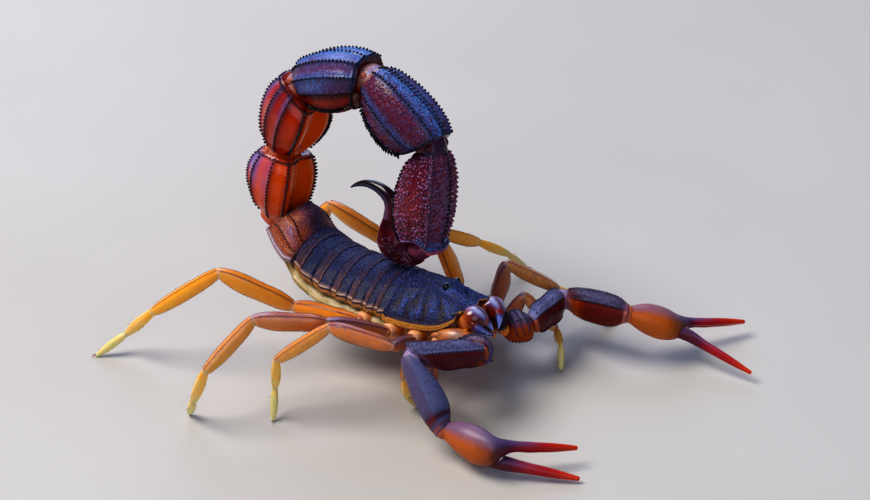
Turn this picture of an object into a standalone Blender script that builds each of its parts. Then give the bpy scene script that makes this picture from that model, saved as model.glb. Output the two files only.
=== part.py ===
"""Thick-tailed scorpion, life size, a still figure: head towards -Y, animal's left towards +X.

The animal stands on its eight feet on the floor, leans a little to its left, holds its pincers
low in front and arches its tail forward over its back with the sting folded up beside it.
All sizes below are in millimetres; meshes are written in metres.
"""
import math

import bmesh
import bpy
import numpy as np

MM = 0.001
GAP = 0.3                      # clear space between neighbouring plates
RIM_REACH = 0.45               # how far a segment's outer rim reaches past a bent joint
FLOOR_PAD = 0.22               # height of a foot's axis above the floor

# ---- stance ------------------------------------------------------------------------------
LEAN = math.radians(12.0)      # the trunk and tail lean towards the animal's left
PIVOT_HEIGHT = 13.5            # height of the line about which the trunk leans

# ---- trunk: half width, side-edge height, crest height and underside height along Y ----------
STATION_Y = (-12.4, -11.5, -9.2, -6.0, -3.0, 0.0, 5.0, 11.0, 14.5, 18.0, 21.0)
HALF_WIDTH = (3.9, 4.3, 5.1, 6.0, 6.6, 6.9, 7.1, 7.0, 6.6, 5.5, 4.2)
EDGE_HEIGHT = (12.2, 11.5, 9.6, 8.8, 8.7, 8.9, 9.2, 10.0, 11.4, 12.9, 14.4)
CREST_HEIGHT = (12.9, 13.0, 13.3, 13.6, 13.7, 13.5, 13.4, 13.7, 14.7, 17.2, 17.9)
UNDER_HEIGHT = (7.2, 6.6, 6.0, 5.7, 5.7, 5.8, 6.3, 7.3, 8.6, 10.6, 12.6)
ARCH_POWER = 2.2               # how square the back is across
PLATE_RIM = 0.55               # thickness of a back plate at its side edge
PLATE_THICKNESS = 1.3
BROW_THICKNESS = 0.75          # the carapace is thinner over the jaws
CARAPACE_REAR = -0.9
FRONT_NOTCH = 0.7              # depth of the notch in the carapace's front edge
UNDER_INSET = 0.45             # the underside keeps inside the back plates' edges
MOUTH_Y, MOUTH_FLOOR = -10.4, 8.1   # ahead of this the underside's roof drops under the jaws
TUBERCLE_Y, TUBERCLE_RISE, TUBERCLE_HALF = -7.2, 0.75, 1.45
TERGITE_LENGTHS = (1.7, 1.8, 2.5, 2.7, 3.2, 3.5, 6.1)
TERGITE_LIP = 0.28             # rise of each plate's rear lip
REAR_RAKE = 0.85               # how far the last plate's rear rim leans forward per mm of height
EYE_RADIUS, EYE_SPREAD = 0.52, 1.35
JAW_STATIONS = (               # x, y, z, half width, half height, forward tip of each section
    (2.00, -10.9, 9.5, 1.25, 0.95, 0.0),
    (2.10, -12.25, 9.7, 1.60, 1.25, 0.0),
    (2.15, -12.75, 10.8, 1.85, 1.90, 0.0),
    (2.10, -13.6, 11.0, 1.90, 2.00, 5.0),
    (2.00, -14.6, 10.5, 1.75, 1.75, 25.0),
    (1.75, -15.4, 9.5, 1.30, 1.15, 50.0),
    (1.40, -15.8, 8.5, 0.50, 0.50, 60.0),
)

# ---- tail, in its own upright plane: turn from forward towards up, and length -----------------
TAIL_ROOT_Y, TAIL_ROOT_HEIGHT = 22.2, 15.0
TAIL_TURN = (88.0, 76.0, 19.0, -31.0, -89.0)
TAIL_LENGTH = (9.5, 10.1, 11.2, 12.4, 13.2)
TAIL_HALF_HEIGHT = (4.05, 4.2, 4.4, 3.95, 3.6)
TAIL_HALF_WIDTH = (4.3, 4.35, 4.3, 4.05, 3.7)
TAIL_RISE = (0.0, 0.0, 0.0, 0.1, 0.25)              # shift of a segment towards the loop's inside
TAIL_END_RISE = (0.1, 0.1, 0.1, 0.15, -0.05)        # more shift at its far end, per half height
TAIL_SWELL_AT = (0.0, 0.12, 0.3, 0.5, 0.72, 0.9, 1.0)
TAIL_SWELL = (0.57, 0.77, 0.92, 1.0, 0.99, 0.88, 0.74)
LAST_SWELL = (0.56, 0.84, 0.97, 1.0, 0.95, 0.80, 0.60)
TELSON_START = (24.1, 1.0)     # forward of the tail root, above it
TELSON_HEADING_AT = (0.0, 4.8, 9.0, 11.5, 17.9)
TELSON_HEADING = (220.0, 117.0, 90.0, 150.0, 224.0)
VESICLE_LENGTH, VESICLE_HALF = 7.8, 2.45
VESICLE_SWELL = (0.34, 0.42, 0.52, 0.72, 0.94, 1.0, 0.92, 0.74, 0.54)
TELSON_SEAT = 19.0             # the last segment's end plane tips this far back
STING_BASE_HALF, STING_TIP_HALF = 1.05, 0.27

# ---- legs: lengths of femur, patella, tibia, basitarsus; half heights at their thickest --------
LEG_LENGTHS = {
    1: (6.0, 5.8, 6.0, 3.3),
    2: (7.3, 8.5, 8.2, 5.1),
    3: (9.2, 9.5, 9.0, 5.8),
    4: (10.2, 11.2, 11.0, 6.6),
}
LEG_SCALE = {1: 0.92, 2: 0.98, 3: 1.05, 4: 1.1}
LEG_HIPS = {1: (5.4, -9.2, 7.2), 2: (6.8, -6.2, 7.3), 3: (7.2, -2.4, 7.3), 4: (7.2, 2.0, 7.4)}
# (turn from the animal's left towards its rear, lift) of femur, patella, tibia, basitarsus, tarsus
LEG_POSE = {
    "right_1": ((206, -27), (112, 65), (69, -72), (350, -81), (330, -50)),
    "right_2": ((192, 26), (109, 10), (133, -32), (65, -78), (203, -67)),
    "right_3": ((148, 24), (130, 7), (160, -33), (98, -67), (59, -59)),
    "right_4": ((97, -3), (125, 29), (125, -33), (101, -46), (135, -35)),
    "left_1": ((2, -39), (317, 50), (272, -36), (224, -6), (213, -56)),
    "left_2": ((2, -21), (250, 68), (313, -33), (312, -38), (313, -41)),
    "left_3": ((24, -19), (138, 74), (349, -32), (328, -35), (341, -48)),
    "left_4": ((54, 9), (97, 20), (79, -51), (41, -8), (49, -26)),
}

# ---- pincers ------------------------------------------------------------------------------
PALP_LENGTHS = {"femur": 9.5, "patella": 10.2, "palm": 7.8, "finger": 10.6}
PALP_HIPS = {"right": (-5.8, -15.8, 8.5), "left": (5.9, -16.6, 9.3)}
PALP_POSE = {
    "right": ((149, 12), (252, -50), (270, -3), (316, -5)),
    "left": ((5, -10), (272, 6), (316, -24), (330, -12)),
}
LOWER_FINGER = {"right": (296, -9), "left": (270, -14)}

SKIN = {                       # base colour, roughness
    "slate": ("2B2A3E", 0.38), "eye": ("050507", 0.12), "chelicera": ("5A1F1C", 0.25),
    "amber": ("B4691E", 0.42), "belly": ("A8875A", 0.5), "comb": ("C9A06A", 0.5),
    "tail_red": ("A8380F", 0.3), "tail_dark": ("5C1A18", 0.32), "sting": ("2A1016", 0.2),
    "palp": ("4A2A3A", 0.35), "palm": ("9A4416", 0.25), "finger": ("A02318", 0.25),
    "leg": ("C98A34", 0.42),
}


def linear(hexa):
    """Linear colour of an sRGB hex string."""
    parts = [int(hexa[i:i + 2], 16) / 255.0 for i in (0, 2, 4)]
    return [c / 12.92 if c <= 0.04045 else ((c + 0.055) / 1.055) ** 2.4 for c in parts] + [1.0]


def material(name, skin):
    """A Principled material of its own for one piece."""
    hexa, roughness = SKIN[skin]
    made = bpy.data.materials.new(name)
    made.use_nodes = True
    shader = made.node_tree.nodes["Principled BSDF"]
    shader.inputs["Base Color"].default_value = linear(hexa)
    shader.inputs["Roughness"].default_value = roughness
    shader.inputs["Metallic"].default_value = 0.0
    made.diffuse_color = linear(hexa)
    return made


def unit(vector):
    vector = np.asarray(vector, float)
    return vector / np.linalg.norm(vector)


def heading(turn, lift):
    """Direction that turns from +X towards +Y and lifts above the floor, both in degrees."""
    turn, lift = math.radians(turn), math.radians(lift)
    return np.array([math.cos(turn) * math.cos(lift), math.sin(turn) * math.cos(lift), math.sin(lift)])


def stand(points):
    """Trunk points turned about the pivot line so that the animal leans to its left."""
    points = np.asarray(points, float)
    across, rise = points[..., 0], points[..., 2] - PIVOT_HEIGHT
    return np.stack([
        across * math.cos(LEAN) + rise * math.sin(LEAN),
        points[..., 1],
        PIVOT_HEIGHT - across * math.sin(LEAN) + rise * math.cos(LEAN),
    ], axis=-1)


def body_mesh(name, verts, faces, skin):
    """One closed piece from points in millimetres, with its origin at its own centre."""
    verts = np.asarray(verts, float)
    centre = verts.mean(axis=0)
    work = bmesh.new()
    made = [work.verts.new((v - centre) * MM) for v in verts]
    for face in faces:
        work.faces.new([made[i] for i in face])
    bmesh.ops.recalc_face_normals(work, faces=work.faces[:])
    if work.calc_volume(signed=True) < 0.0:
        bmesh.ops.reverse_faces(work, faces=work.faces[:])
    mesh = bpy.data.meshes.new(name)
    work.to_mesh(mesh)
    work.free()
    mesh.materials.append(material(name, skin))
    mesh.shade_smooth()
    mesh.set_sharp_from_angle(angle=math.radians(38.0))
    piece = bpy.data.objects.new(name, mesh)
    piece.location = centre * MM
    bpy.context.scene.collection.objects.link(piece)
    return piece


def wall_faces(count, around):
    """Quads between consecutive rings."""
    faces = []
    for r in range(count - 1):
        for k in range(around):
            n = (k + 1) % around
            faces.append((r * around + k, r * around + n, (r + 1) * around + n, (r + 1) * around + k))
    return faces


def ring_piece(name, rings, skin):
    """A closed piece skinned over rings, with a flat cap on each end ring."""
    rings = np.asarray(rings, float)
    count, around = rings.shape[:2]
    faces = wall_faces(count, around)
    faces.append(tuple(reversed(range(around))))
    faces.append(tuple(range((count - 1) * around, count * around)))
    return body_mesh(name, rings.reshape(-1, 3), faces, skin)


def plate_piece(name, rings, skin):
    """A closed piece over rings whose first half runs across the top and second half back below.

    Each end is closed by strips that join a top point to the point under it.
    """
    rings = np.asarray(rings, float)
    count, around = rings.shape[:2]
    faces = wall_faces(count, around)
    for base, flip in ((0, True), ((count - 1) * around, False)):
        for k in range(around // 2 - 1):
            quad = (base + k, base + k + 1, base + around - 2 - k, base + around - 1 - k)
            faces.append(quad[::-1] if flip else quad)
    return body_mesh(name, rings.reshape(-1, 3), faces, skin)


def oval(count, power=2.3, groove=0.0):
    """Unit section: across, up. A groove sinks the middle of its upper side."""
    angle = np.arange(count) * 2.0 * math.pi / count
    across = np.sign(np.cos(angle)) * np.abs(np.cos(angle)) ** (2.0 / power)
    up = np.sign(np.sin(angle)) * np.abs(np.sin(angle)) ** (2.0 / power)
    up = np.where(up > 0.0, up * (1.0 - groove * np.exp(-(across / 0.4) ** 2)), up)
    return np.stack([across, up], axis=1)


def bend_plane(before, after):
    """Normal of the plane that halves the bend between two directions."""
    return unit(unit(before) + unit(after))


def limb_rings(joints, sizes, side, section, start=None, end=None):
    """Rings along straight stretches that meet in the planes halving their bends.

    sizes holds, for each stretch, rows of (fraction, half width, half height) and, where the
    section is shifted, its rise. side is the direction of the limb's width. start and end are
    the normals of its two end planes.
    """
    joints = np.asarray(joints, float)
    ways = [unit(b - a) for a, b in zip(joints[:-1], joints[1:])]
    planes = [ways[0] if start is None else start]
    planes += [bend_plane(a, b) for a, b in zip(ways[:-1], ways[1:])]
    planes += [ways[-1] if end is None else end]
    rings = []
    for i, way in enumerate(ways):
        across = unit(side - np.dot(side, way) * way)
        up = np.cross(way, across)
        length = np.linalg.norm(joints[i + 1] - joints[i])
        first_gap = GAP / 2.0 if i == 0 and start is not None else 0.0
        last_gap = GAP / 2.0 if i == len(ways) - 1 and end is not None else 0.0
        for fraction, half_width, half_height, *rise in sizes[i]:
            if i and fraction == 0.0:
                continue
            offset = section[:, :1] * half_width * across + (section[:, 1:] * half_height + sum(rise)) * up
            low = (first_gap - offset @ planes[i]) / max(np.dot(way, planes[i]), 0.4)
            high = (last_gap + offset @ planes[i + 1]) / max(np.dot(way, planes[i + 1]), 0.4)
            along = low * (1.0 - fraction) + (length - high) * fraction
            along = np.clip(along, -RIM_REACH, length + RIM_REACH)
            rings.append(joints[i] + offset + along[:, None] * way)
    return np.array(rings)


# ---- trunk ---------------------------------------------------------------------------------
def trunk_value(y, values):
    return np.interp(y, STATION_Y, values)


def trunk_arch(y, across, lift=0.0):
    """Height of the back at a place."""
    half = trunk_value(y, HALF_WIDTH)
    edge = trunk_value(y, EDGE_HEIGHT)
    crest = trunk_value(y, CREST_HEIGHT) + lift
    share = np.clip(np.abs(across) / half, 0.0, 1.0) ** ARCH_POWER
    return crest - (crest - edge) * share


def plate_rings(ys, columns, lips, thicknesses, bend):
    """Rings of a back plate in the trunk's frame; bend moves a point's Y by its place."""
    rings = []
    for y, lip, thickness in zip(ys, lips, thicknesses):
        half = float(trunk_value(y, HALF_WIDTH))
        across = np.sin(np.linspace(-math.pi / 2, math.pi / 2, columns)) * half
        top = trunk_arch(y, across, lip)
        side = (np.abs(across) / half) ** 4
        below = top - (thickness * (1.0 - side) + PLATE_RIM * side)
        upper = np.stack([across, np.full(columns, y), top], axis=1)
        lower = np.stack([across, np.full(columns, y), below], axis=1)[::-1]
        ring = np.concatenate([upper, lower])
        ring[:, 1] += bend(ring, y)
        rings.append(ring)
    return np.array(rings)


def build_carapace():
    ys = [-12.4, -11.8, -11.0, -9.6, -8.4, -7.4, -6.4, -5.2, -3.4, CARAPACE_REAR]
    lips = [0.0] * (len(ys) - 1) + [TERGITE_LIP / 2]

    def notch(ring, y):
        fade = np.clip((y + 11.0) / -1.4, 0.0, 1.0)
        return FRONT_NOTCH * fade * np.exp(-(ring[:, 0] / 0.9) ** 2)

    thicknesses = np.interp(ys, (-9.6, -8.4), (BROW_THICKNESS, PLATE_THICKNESS))
    rings = plate_rings(ys, 15, lips, thicknesses, notch)
    bump = TUBERCLE_RISE * np.exp(-(rings[..., 0] / TUBERCLE_HALF) ** 4
                                  - ((rings[..., 1] - TUBERCLE_Y) / 1.7) ** 2)
    rings[:, :15, 2] += bump[:, :15]
    return plate_piece("carapace", stand(rings), "slate")


def build_eye(name, side):
    """A low dome on the flank of the eye hill."""
    place = np.array([side * EYE_SPREAD, TUBERCLE_Y, 0.0])
    place[2] = trunk_arch(TUBERCLE_Y, place[0]) + TUBERCLE_RISE * math.exp(-(EYE_SPREAD / TUBERCLE_HALF) ** 4)
    out = unit([side * 0.85, -0.1, 0.75])
    across = unit(np.cross(out, [0.0, 1.0, 0.0]))
    up = np.cross(out, across)
    rings = []
    for depth, share in ((0.12, 0.86), (0.30, 1.0), (0.46, 0.78), (0.56, 0.36)):
        angle = np.arange(10) * 2.0 * math.pi / 10
        circle = np.cos(angle)[:, None] * across + np.sin(angle)[:, None] * up
        rings.append(place + out * (depth + GAP / 3.0) + circle * EYE_RADIUS * share)
    return ring_piece(name, stand(np.array(rings)), "eye")


def build_tergites():
    y = CARAPACE_REAR
    for number, length in enumerate(TERGITE_LENGTHS, start=1):
        start, stop = y + GAP, y + length
        last = number == len(TERGITE_LENGTHS)
        shares = (0.0, 0.35, 0.7, 1.0) if last else (0.0, 0.55, 1.0)
        ys = [start + (stop - start) * share for share in shares]
        lips = [TERGITE_LIP * (share ** 2) * (0.0 if last else 1.0) for share in shares]

        def rake(ring, at, stop=stop, last=last, begin=start):
            if not last:
                return np.zeros(len(ring))
            fade = np.clip((at - begin) / (stop - begin), 0.0, 1.0)
            return -REAR_RAKE * fade * np.maximum(ring[:, 2] - trunk_value(at, EDGE_HEIGHT), 0.0)

        rings = plate_rings(ys, 11, lips, [PLATE_THICKNESS] * len(ys), rake)
        plate_piece(f"tergite_{number}", stand(rings), "slate")
        y = stop


def under_rings(ys, columns, ridge):
    """Rings that fill the trunk below the back plates; ridge widens them where limbs leave.

    Ahead of the first legs the filling drops below the jaws.
    """
    rings = []
    for y in ys:
        half = float(trunk_value(y, HALF_WIDTH)) - UNDER_INSET + ridge(y)
        across = np.sin(np.linspace(-math.pi / 2, math.pi / 2, columns)) * half
        roof = trunk_arch(y, across * 0.98) - PLATE_THICKNESS - GAP - 0.1
        rim = trunk_value(y, EDGE_HEIGHT) - PLATE_RIM - GAP - 0.35
        roof = np.where(np.abs(across) > 0.93 * half, rim, np.maximum(roof, rim))
        if y < MOUTH_Y:
            roof = np.minimum(roof, MOUTH_FLOOR)
            rim = min(rim, MOUTH_FLOOR)
        floor = trunk_value(y, UNDER_HEIGHT)
        keel = floor + (rim - floor - 0.9) * (np.abs(across) / half) ** 3.2
        upper = np.stack([across, np.full(columns, y), roof], axis=1)
        lower = np.stack([across, np.full(columns, y), keel], axis=1)[::-1]
        rings.append(np.concatenate([upper, lower]))
    return np.array(rings)


def build_underside():
    hips = [LEG_HIPS[i][1] for i in (1, 2, 3, 4)]

    def coxae(y):
        return sum(0.45 * math.exp(-((y - hip) / 0.9) ** 2) for hip in hips) - 0.35

    ys = np.sort(np.append(np.arange(-12.0, 3.3, 0.95), (MOUTH_Y - 0.05, MOUTH_Y + 0.1)))
    plate_piece("prosoma_underside", stand(under_rings(ys, 9, coxae)), "amber")
    ys = np.array([3.6, 5.0, 8.0, 11.0, 14.0, 17.0, 19.4, 21.2])
    rings = under_rings(ys, 9, lambda y: 0.0)
    fade = np.clip((rings[..., 1] - 17.0) / 4.2, 0.0, 1.0)
    rings[..., 2] -= fade * np.maximum(rings[..., 2] - 13.4, 0.0) * 0.85
    plate_piece("sternites", stand(rings), "belly")


def build_pectines():
    """Two combs under the belly, each a flat bar with teeth along its rear edge."""
    teeth, length, depth, thick = 11, 5.6, 1.15, 0.55
    for name, side in (("pectine_left", 1.0), ("pectine_right", -1.0)):
        front = [(0.0, -0.55), (length * 0.5, -0.75), (length, -0.1)]
        rear = []
        for k in range(teeth):
            at = length * (1.0 - (k + 0.5) / teeth)
            rear += [(at + 0.22, 0.25), (at, depth)]
        outline = np.array(front + rear + [(0.0, 0.3)])
        swing = math.radians(22.0)
        x = 0.7 + outline[:, 0] * math.cos(swing) - outline[:, 1] * math.sin(swing)
        y = 4.9 + outline[:, 0] * math.sin(swing) + outline[:, 1] * math.cos(swing)
        floor = trunk_value(y, UNDER_HEIGHT) - GAP
        rings = np.array([np.stack([x * side, y, floor - drop], axis=1) for drop in (thick, 0.0)])
        ring_piece(name, stand(rings), "comb")


def build_chelicerae():
    """Two short jaws under the carapace's front edge, each with a pair of fingers."""
    section = oval(10, 2.2)
    for name, side in (("chelicera_left", 1.0), ("chelicera_right", -1.0)):
        rings = []
        for x, y, z, wide, tall, tip in JAW_STATIONS:
            tip = math.radians(tip)
            up = np.array([0.0, -math.sin(tip), math.cos(tip)])
            across = np.array([1.0, 0.0, 0.0])
            offset = section[:, :1] * wide * across + section[:, 1:] * tall * up
            rings.append(np.array([x * side, y, z]) + offset)
        ring_piece(name, stand(np.array(rings)), "chelicera")


# ---- tail ----------------------------------------------------------------------------------
TAIL_FORWARD = np.array([0.0, -1.0, 0.0])
TAIL_UP = np.array([math.sin(LEAN), 0.0, math.cos(LEAN)])
TAIL_SIDE = np.cross(TAIL_FORWARD, TAIL_UP)


def in_tail_plane(forward, up):
    root = stand([0.0, TAIL_ROOT_Y, TAIL_ROOT_HEIGHT])
    return root + forward * TAIL_FORWARD + up * TAIL_UP


def tail_way(turn):
    turn = math.radians(turn)
    return math.cos(turn) * TAIL_FORWARD + math.sin(turn) * TAIL_UP


def build_tail():
    joints = [in_tail_plane(0.0, 0.0)]
    ways = [tail_way(turn) for turn in TAIL_TURN]
    for way, length in zip(ways, TAIL_LENGTH):
        joints.append(joints[-1] + way * length)
    section = oval(16, 2.7, groove=0.14)
    planes = [tail_way(69.0)]
    planes += [bend_plane(a, b) for a, b in zip(ways[:-1], ways[1:])]
    planes += [tail_way(TAIL_TURN[-1] + TELSON_SEAT)]
    for i in range(5):
        swell = LAST_SWELL if i == 4 else TAIL_SWELL
        sizes = []
        for at, share in zip(TAIL_SWELL_AT, swell):
            tall = TAIL_HALF_HEIGHT[i] * share
            sizes.append((at, TAIL_HALF_WIDTH[i] * share, tall, TAIL_RISE[i] + TAIL_END_RISE[i] * tall * at ** 3))
        rings = limb_rings(joints[i:i + 2], [sizes], TAIL_SIDE, section, planes[i], planes[i + 1])
        ring_piece(f"metasoma_{i + 1}", rings, "tail_red" if i < 2 else "tail_dark")


def telson_place(reach):
    """Centre and direction on the telson's S-shaped midline at an arc length."""
    steps = np.linspace(0.0, reach, 60)
    turns = np.interp(steps, TELSON_HEADING_AT, TELSON_HEADING)
    ways = np.array([tail_way(turn) for turn in turns])
    travel = ((ways[1:] + ways[:-1]) / 2.0 * np.diff(steps)[:, None]).sum(axis=0)
    return in_tail_plane(*TELSON_START) + travel, ways[-1]


def telson_rings(reaches, halves, section):
    rings = []
    for reach, half in zip(reaches, halves):
        place, way = telson_place(reach)
        up = np.cross(way, TAIL_SIDE)
        rings.append(place + section[:, :1] * half * 0.95 * TAIL_SIDE + section[:, 1:] * half * up)
    return np.array(rings)


def build_telson():
    reaches = np.linspace(0.0, VESICLE_LENGTH, len(VESICLE_SWELL))
    halves = VESICLE_HALF * np.array(VESICLE_SWELL)
    ring_piece("telson_vesicle", telson_rings(reaches, halves, oval(14, 2.0)), "tail_dark")
    reaches = np.linspace(VESICLE_LENGTH + GAP, TELSON_HEADING_AT[-1], 9)
    share = (reaches - reaches[0]) / (reaches[-1] - reaches[0])
    halves = STING_TIP_HALF + (STING_BASE_HALF - STING_TIP_HALF) * (1.0 - share) ** 0.9
    ring_piece("sting", telson_rings(reaches, halves, oval(10, 2.0)), "sting")


# ---- limbs ---------------------------------------------------------------------------------
def leg_joints(name):
    """Hip, the four joints after it, and the toe, which comes down to the floor."""
    side, number = name.split("_")
    hip = np.array(LEG_HIPS[int(number)]) * [1.0 if side == "left" else -1.0, 1.0, 1.0]
    joints = [stand(hip)]
    pose = LEG_POSE[name]
    for (turn, lift), length in zip(pose, LEG_LENGTHS[int(number)]):
        joints.append(joints[-1] + heading(turn, lift) * length)
    last = heading(*pose[-1])
    joints.append(joints[-1] + last * (joints[-1][2] - FLOOR_PAD) / -last[2])
    return np.array(joints)


def build_legs():
    section = oval(8, 2.3)
    for name in LEG_POSE:
        k = LEG_SCALE[int(name[-1])]
        joints = leg_joints(name)
        reach = joints[-1] - joints[0]
        side = unit([-reach[1], reach[0], 0.0])
        ways = [unit(b - a) for a, b in zip(joints[:-1], joints[1:])]
        knee = [bend_plane(a, b) for a, b in zip(ways[:-1], ways[1:])]
        femur = [(0.0, 0.55 * k, 0.65 * k), (0.35, 0.72 * k, 0.92 * k), (1.0, 0.55 * k, 0.65 * k)]
        patella = [(0.0, 0.55 * k, 0.65 * k), (0.4, 0.8 * k, 1.02 * k), (0.85, 0.74 * k, 0.9 * k),
                   (1.0, 0.55 * k, 0.65 * k)]
        tibia = [(0.0, 0.52 * k, 0.6 * k), (0.3, 0.64 * k, 0.82 * k), (1.0, 0.48 * k, 0.58 * k)]
        basitarsus = [(0.0, 0.46 * k, 0.52 * k), (1.0, 0.4 * k, 0.44 * k)]
        tarsus = [(0.0, 0.4 * k, 0.44 * k), (0.6, 0.42 * k, 0.46 * k), (1.0, 0.28, 0.28)]
        for label, part, first in (("femur", femur, 0), ("patella", patella, 1)):
            rings = limb_rings(joints[first:first + 2], [part], side, section,
                               ways[0] if first == 0 else knee[0], knee[first])
            ring_piece(f"leg_{name}_{label}", rings, "leg")
        rings = limb_rings(joints[2:], [tibia, basitarsus, tarsus], side, section, knee[1])
        rings[..., 2] = np.maximum(rings[..., 2], 0.0)
        ring_piece(f"leg_{name}_foot", rings, "leg")


def build_pincers():
    section = oval(12, 2.5)
    for side_name, mirror in (("right", -1.0), ("left", 1.0)):
        hip = stand(PALP_HIPS[side_name])
        root = stand([mirror * 4.1, -13.4, 7.7])
        ways = [heading(*pose) for pose in PALP_POSE[side_name]]
        elbow = hip + ways[0] * PALP_LENGTHS["femur"]
        wrist = elbow + ways[1] * PALP_LENGTHS["patella"]
        knuckle = wrist + ways[2] * PALP_LENGTHS["palm"]
        tip = knuckle + ways[3] * PALP_LENGTHS["finger"]
        up = np.array([0.0, 0.0, 1.0])
        first = unit(hip - root)
        planes = [bend_plane(first, ways[0]), bend_plane(ways[0], ways[1]), bend_plane(ways[1], ways[2])]
        trochanter = [(0.0, 1.3, 1.3), (0.45, 2.0, 2.1), (0.8, 1.9, 2.0), (1.0, 1.3, 1.4)]
        femur = [(0.0, 1.1, 1.25), (0.15, 1.5, 1.65), (0.8, 1.65, 1.75), (1.0, 1.2, 1.3)]
        patella = [(0.0, 1.2, 1.3), (0.2, 1.85, 1.75), (0.7, 2.0, 1.85), (1.0, 1.2, 1.25)]
        label = f"pedipalp_{side_name}_"
        rings = limb_rings([root, hip], [trochanter], np.cross(up, first), section, first, planes[0])
        ring_piece(label + "trochanter", rings, "palp")
        rings = limb_rings([hip, elbow], [femur], np.cross(up, ways[0]), section, planes[0], planes[1])
        ring_piece(label + "femur", rings, "palp")
        rings = limb_rings([elbow, wrist], [patella], np.cross(up, ways[1]), section, planes[1], planes[2])
        ring_piece(label + "patella", rings, "palp")
        build_chela(label, side_name, wrist, knuckle, tip, ways, planes[2], section)


def build_chela(label, side_name, wrist, knuckle, tip, ways, plane, section):
    """The palm drawn out into the fixed finger, and the moving finger beside it."""
    reach = unit(tip - wrist)
    lower_way = heading(*LOWER_FINGER[side_name])
    spread = unit(lower_way - np.dot(lower_way, reach) * reach)
    across = np.cross(reach, spread)
    palm = [(0.0, 1.1, 1.1), (0.14, 1.9, 2.0), (0.5, 2.15, 2.45), (0.9, 1.6, 2.1)]
    palm_rings = limb_rings([wrist, knuckle], [palm], across, section, plane, None)
    shift = -spread * 0.9
    finger = [(0.0, 0.85, 0.95), (0.3, 0.62, 0.75), (0.7, 0.5, 0.6), (1.0, 0.28, 0.3)]
    start = knuckle + shift
    finger_rings = limb_rings([start, tip], [finger], across, section, None, None)
    ring_piece(label + "palm", np.concatenate([palm_rings, finger_rings]), "palm")
    root = knuckle + spread * 1.2 + reach * 0.2
    end = root + lower_way * PALP_LENGTHS["finger"]
    moving = [(0.0, 0.8, 0.85), (0.12, 0.85, 0.9), (0.4, 0.6, 0.68), (0.75, 0.5, 0.55), (1.0, 0.28, 0.28)]
    ring_piece(label + "finger", limb_rings([root, end], [moving], across, section, None, None), "finger")


def main():
    for old in list(bpy.data.objects):
        bpy.data.objects.remove(old, do_unlink=True)
    build_carapace()
    build_eye("eye_left", 1.0)
    build_eye("eye_right", -1.0)
    build_tergites()
    build_underside()
    build_pectines()
    build_chelicerae()
    build_tail()
    build_telson()
    build_legs()
    build_pincers()

    pieces = [piece for piece in bpy.data.objects if piece.type == "MESH"]
    corners = np.array([np.array(v.co) + np.array(piece.location) for piece in pieces for v in piece.data.vertices])
    low, high = corners.min(axis=0), corners.max(axis=0)
    stand_point = bpy.data.objects.new("scorpion", None)
    bpy.context.scene.collection.objects.link(stand_point)
    for piece in pieces:
        piece.parent = stand_point
    stand_point.location = (-(low[0] + high[0]) / 2.0, -(low[1] + high[1]) / 2.0, -low[2])


main()
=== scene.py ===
"""Thick-tailed scorpion, life size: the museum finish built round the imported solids.

Sizes are in millimetres in the animal's own frame (head towards -Y, its left towards +X, floor at
zero), the same named values as the solids have; build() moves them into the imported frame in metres.
"""
import math
import bpy
import numpy as np
from mathutils import Matrix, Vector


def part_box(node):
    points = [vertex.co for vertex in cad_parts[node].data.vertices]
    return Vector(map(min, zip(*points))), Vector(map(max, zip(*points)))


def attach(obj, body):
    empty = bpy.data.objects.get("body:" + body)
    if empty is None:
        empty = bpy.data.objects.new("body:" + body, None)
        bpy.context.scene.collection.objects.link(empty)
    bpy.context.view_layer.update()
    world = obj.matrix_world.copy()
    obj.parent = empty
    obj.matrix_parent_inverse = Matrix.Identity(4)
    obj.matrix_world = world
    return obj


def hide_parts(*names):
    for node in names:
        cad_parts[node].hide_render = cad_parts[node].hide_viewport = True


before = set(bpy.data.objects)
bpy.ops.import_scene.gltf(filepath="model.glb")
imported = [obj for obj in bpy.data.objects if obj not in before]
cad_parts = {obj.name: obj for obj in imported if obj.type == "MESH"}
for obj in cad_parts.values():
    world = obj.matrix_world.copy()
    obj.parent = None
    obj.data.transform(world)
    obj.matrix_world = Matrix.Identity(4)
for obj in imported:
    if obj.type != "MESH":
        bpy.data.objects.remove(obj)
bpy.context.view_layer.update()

MM = 0.001
STEP_ALONG, STEP_AROUND = 0.004, 0.01               # to either side, for the slope of a skin
SHARP_ANGLE = math.radians(50.0)                    # edges past this stay crisp
GAP = 0.3                                           # left between neighbouring segments
RIM_REACH = 0.45                                    # a segment's end may reach this far past its joint
CLOSING, BELLY_CLOSING = 0.06, 0.03                 # share of its length in which a skin closes
STUD_RINGS = ((-0.3, 0.8), (0.25, 1.0), (0.75, 0.62))   # share of height, share of radius
GOLDEN_TURN = math.pi * (3.0 - math.sqrt(5.0))      # spreads points evenly along a spiral
AHEAD, UPRIGHT = np.array([0.0, -1.0, 0.0]), np.array([0.0, 0.0, 1.0])
FLOOR_PAD = 0.22                                    # height of a toe's middle over the floor
LEAN, PIVOT_HEIGHT = math.radians(12.0), 13.5       # the trunk leans about a line at this height

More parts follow.
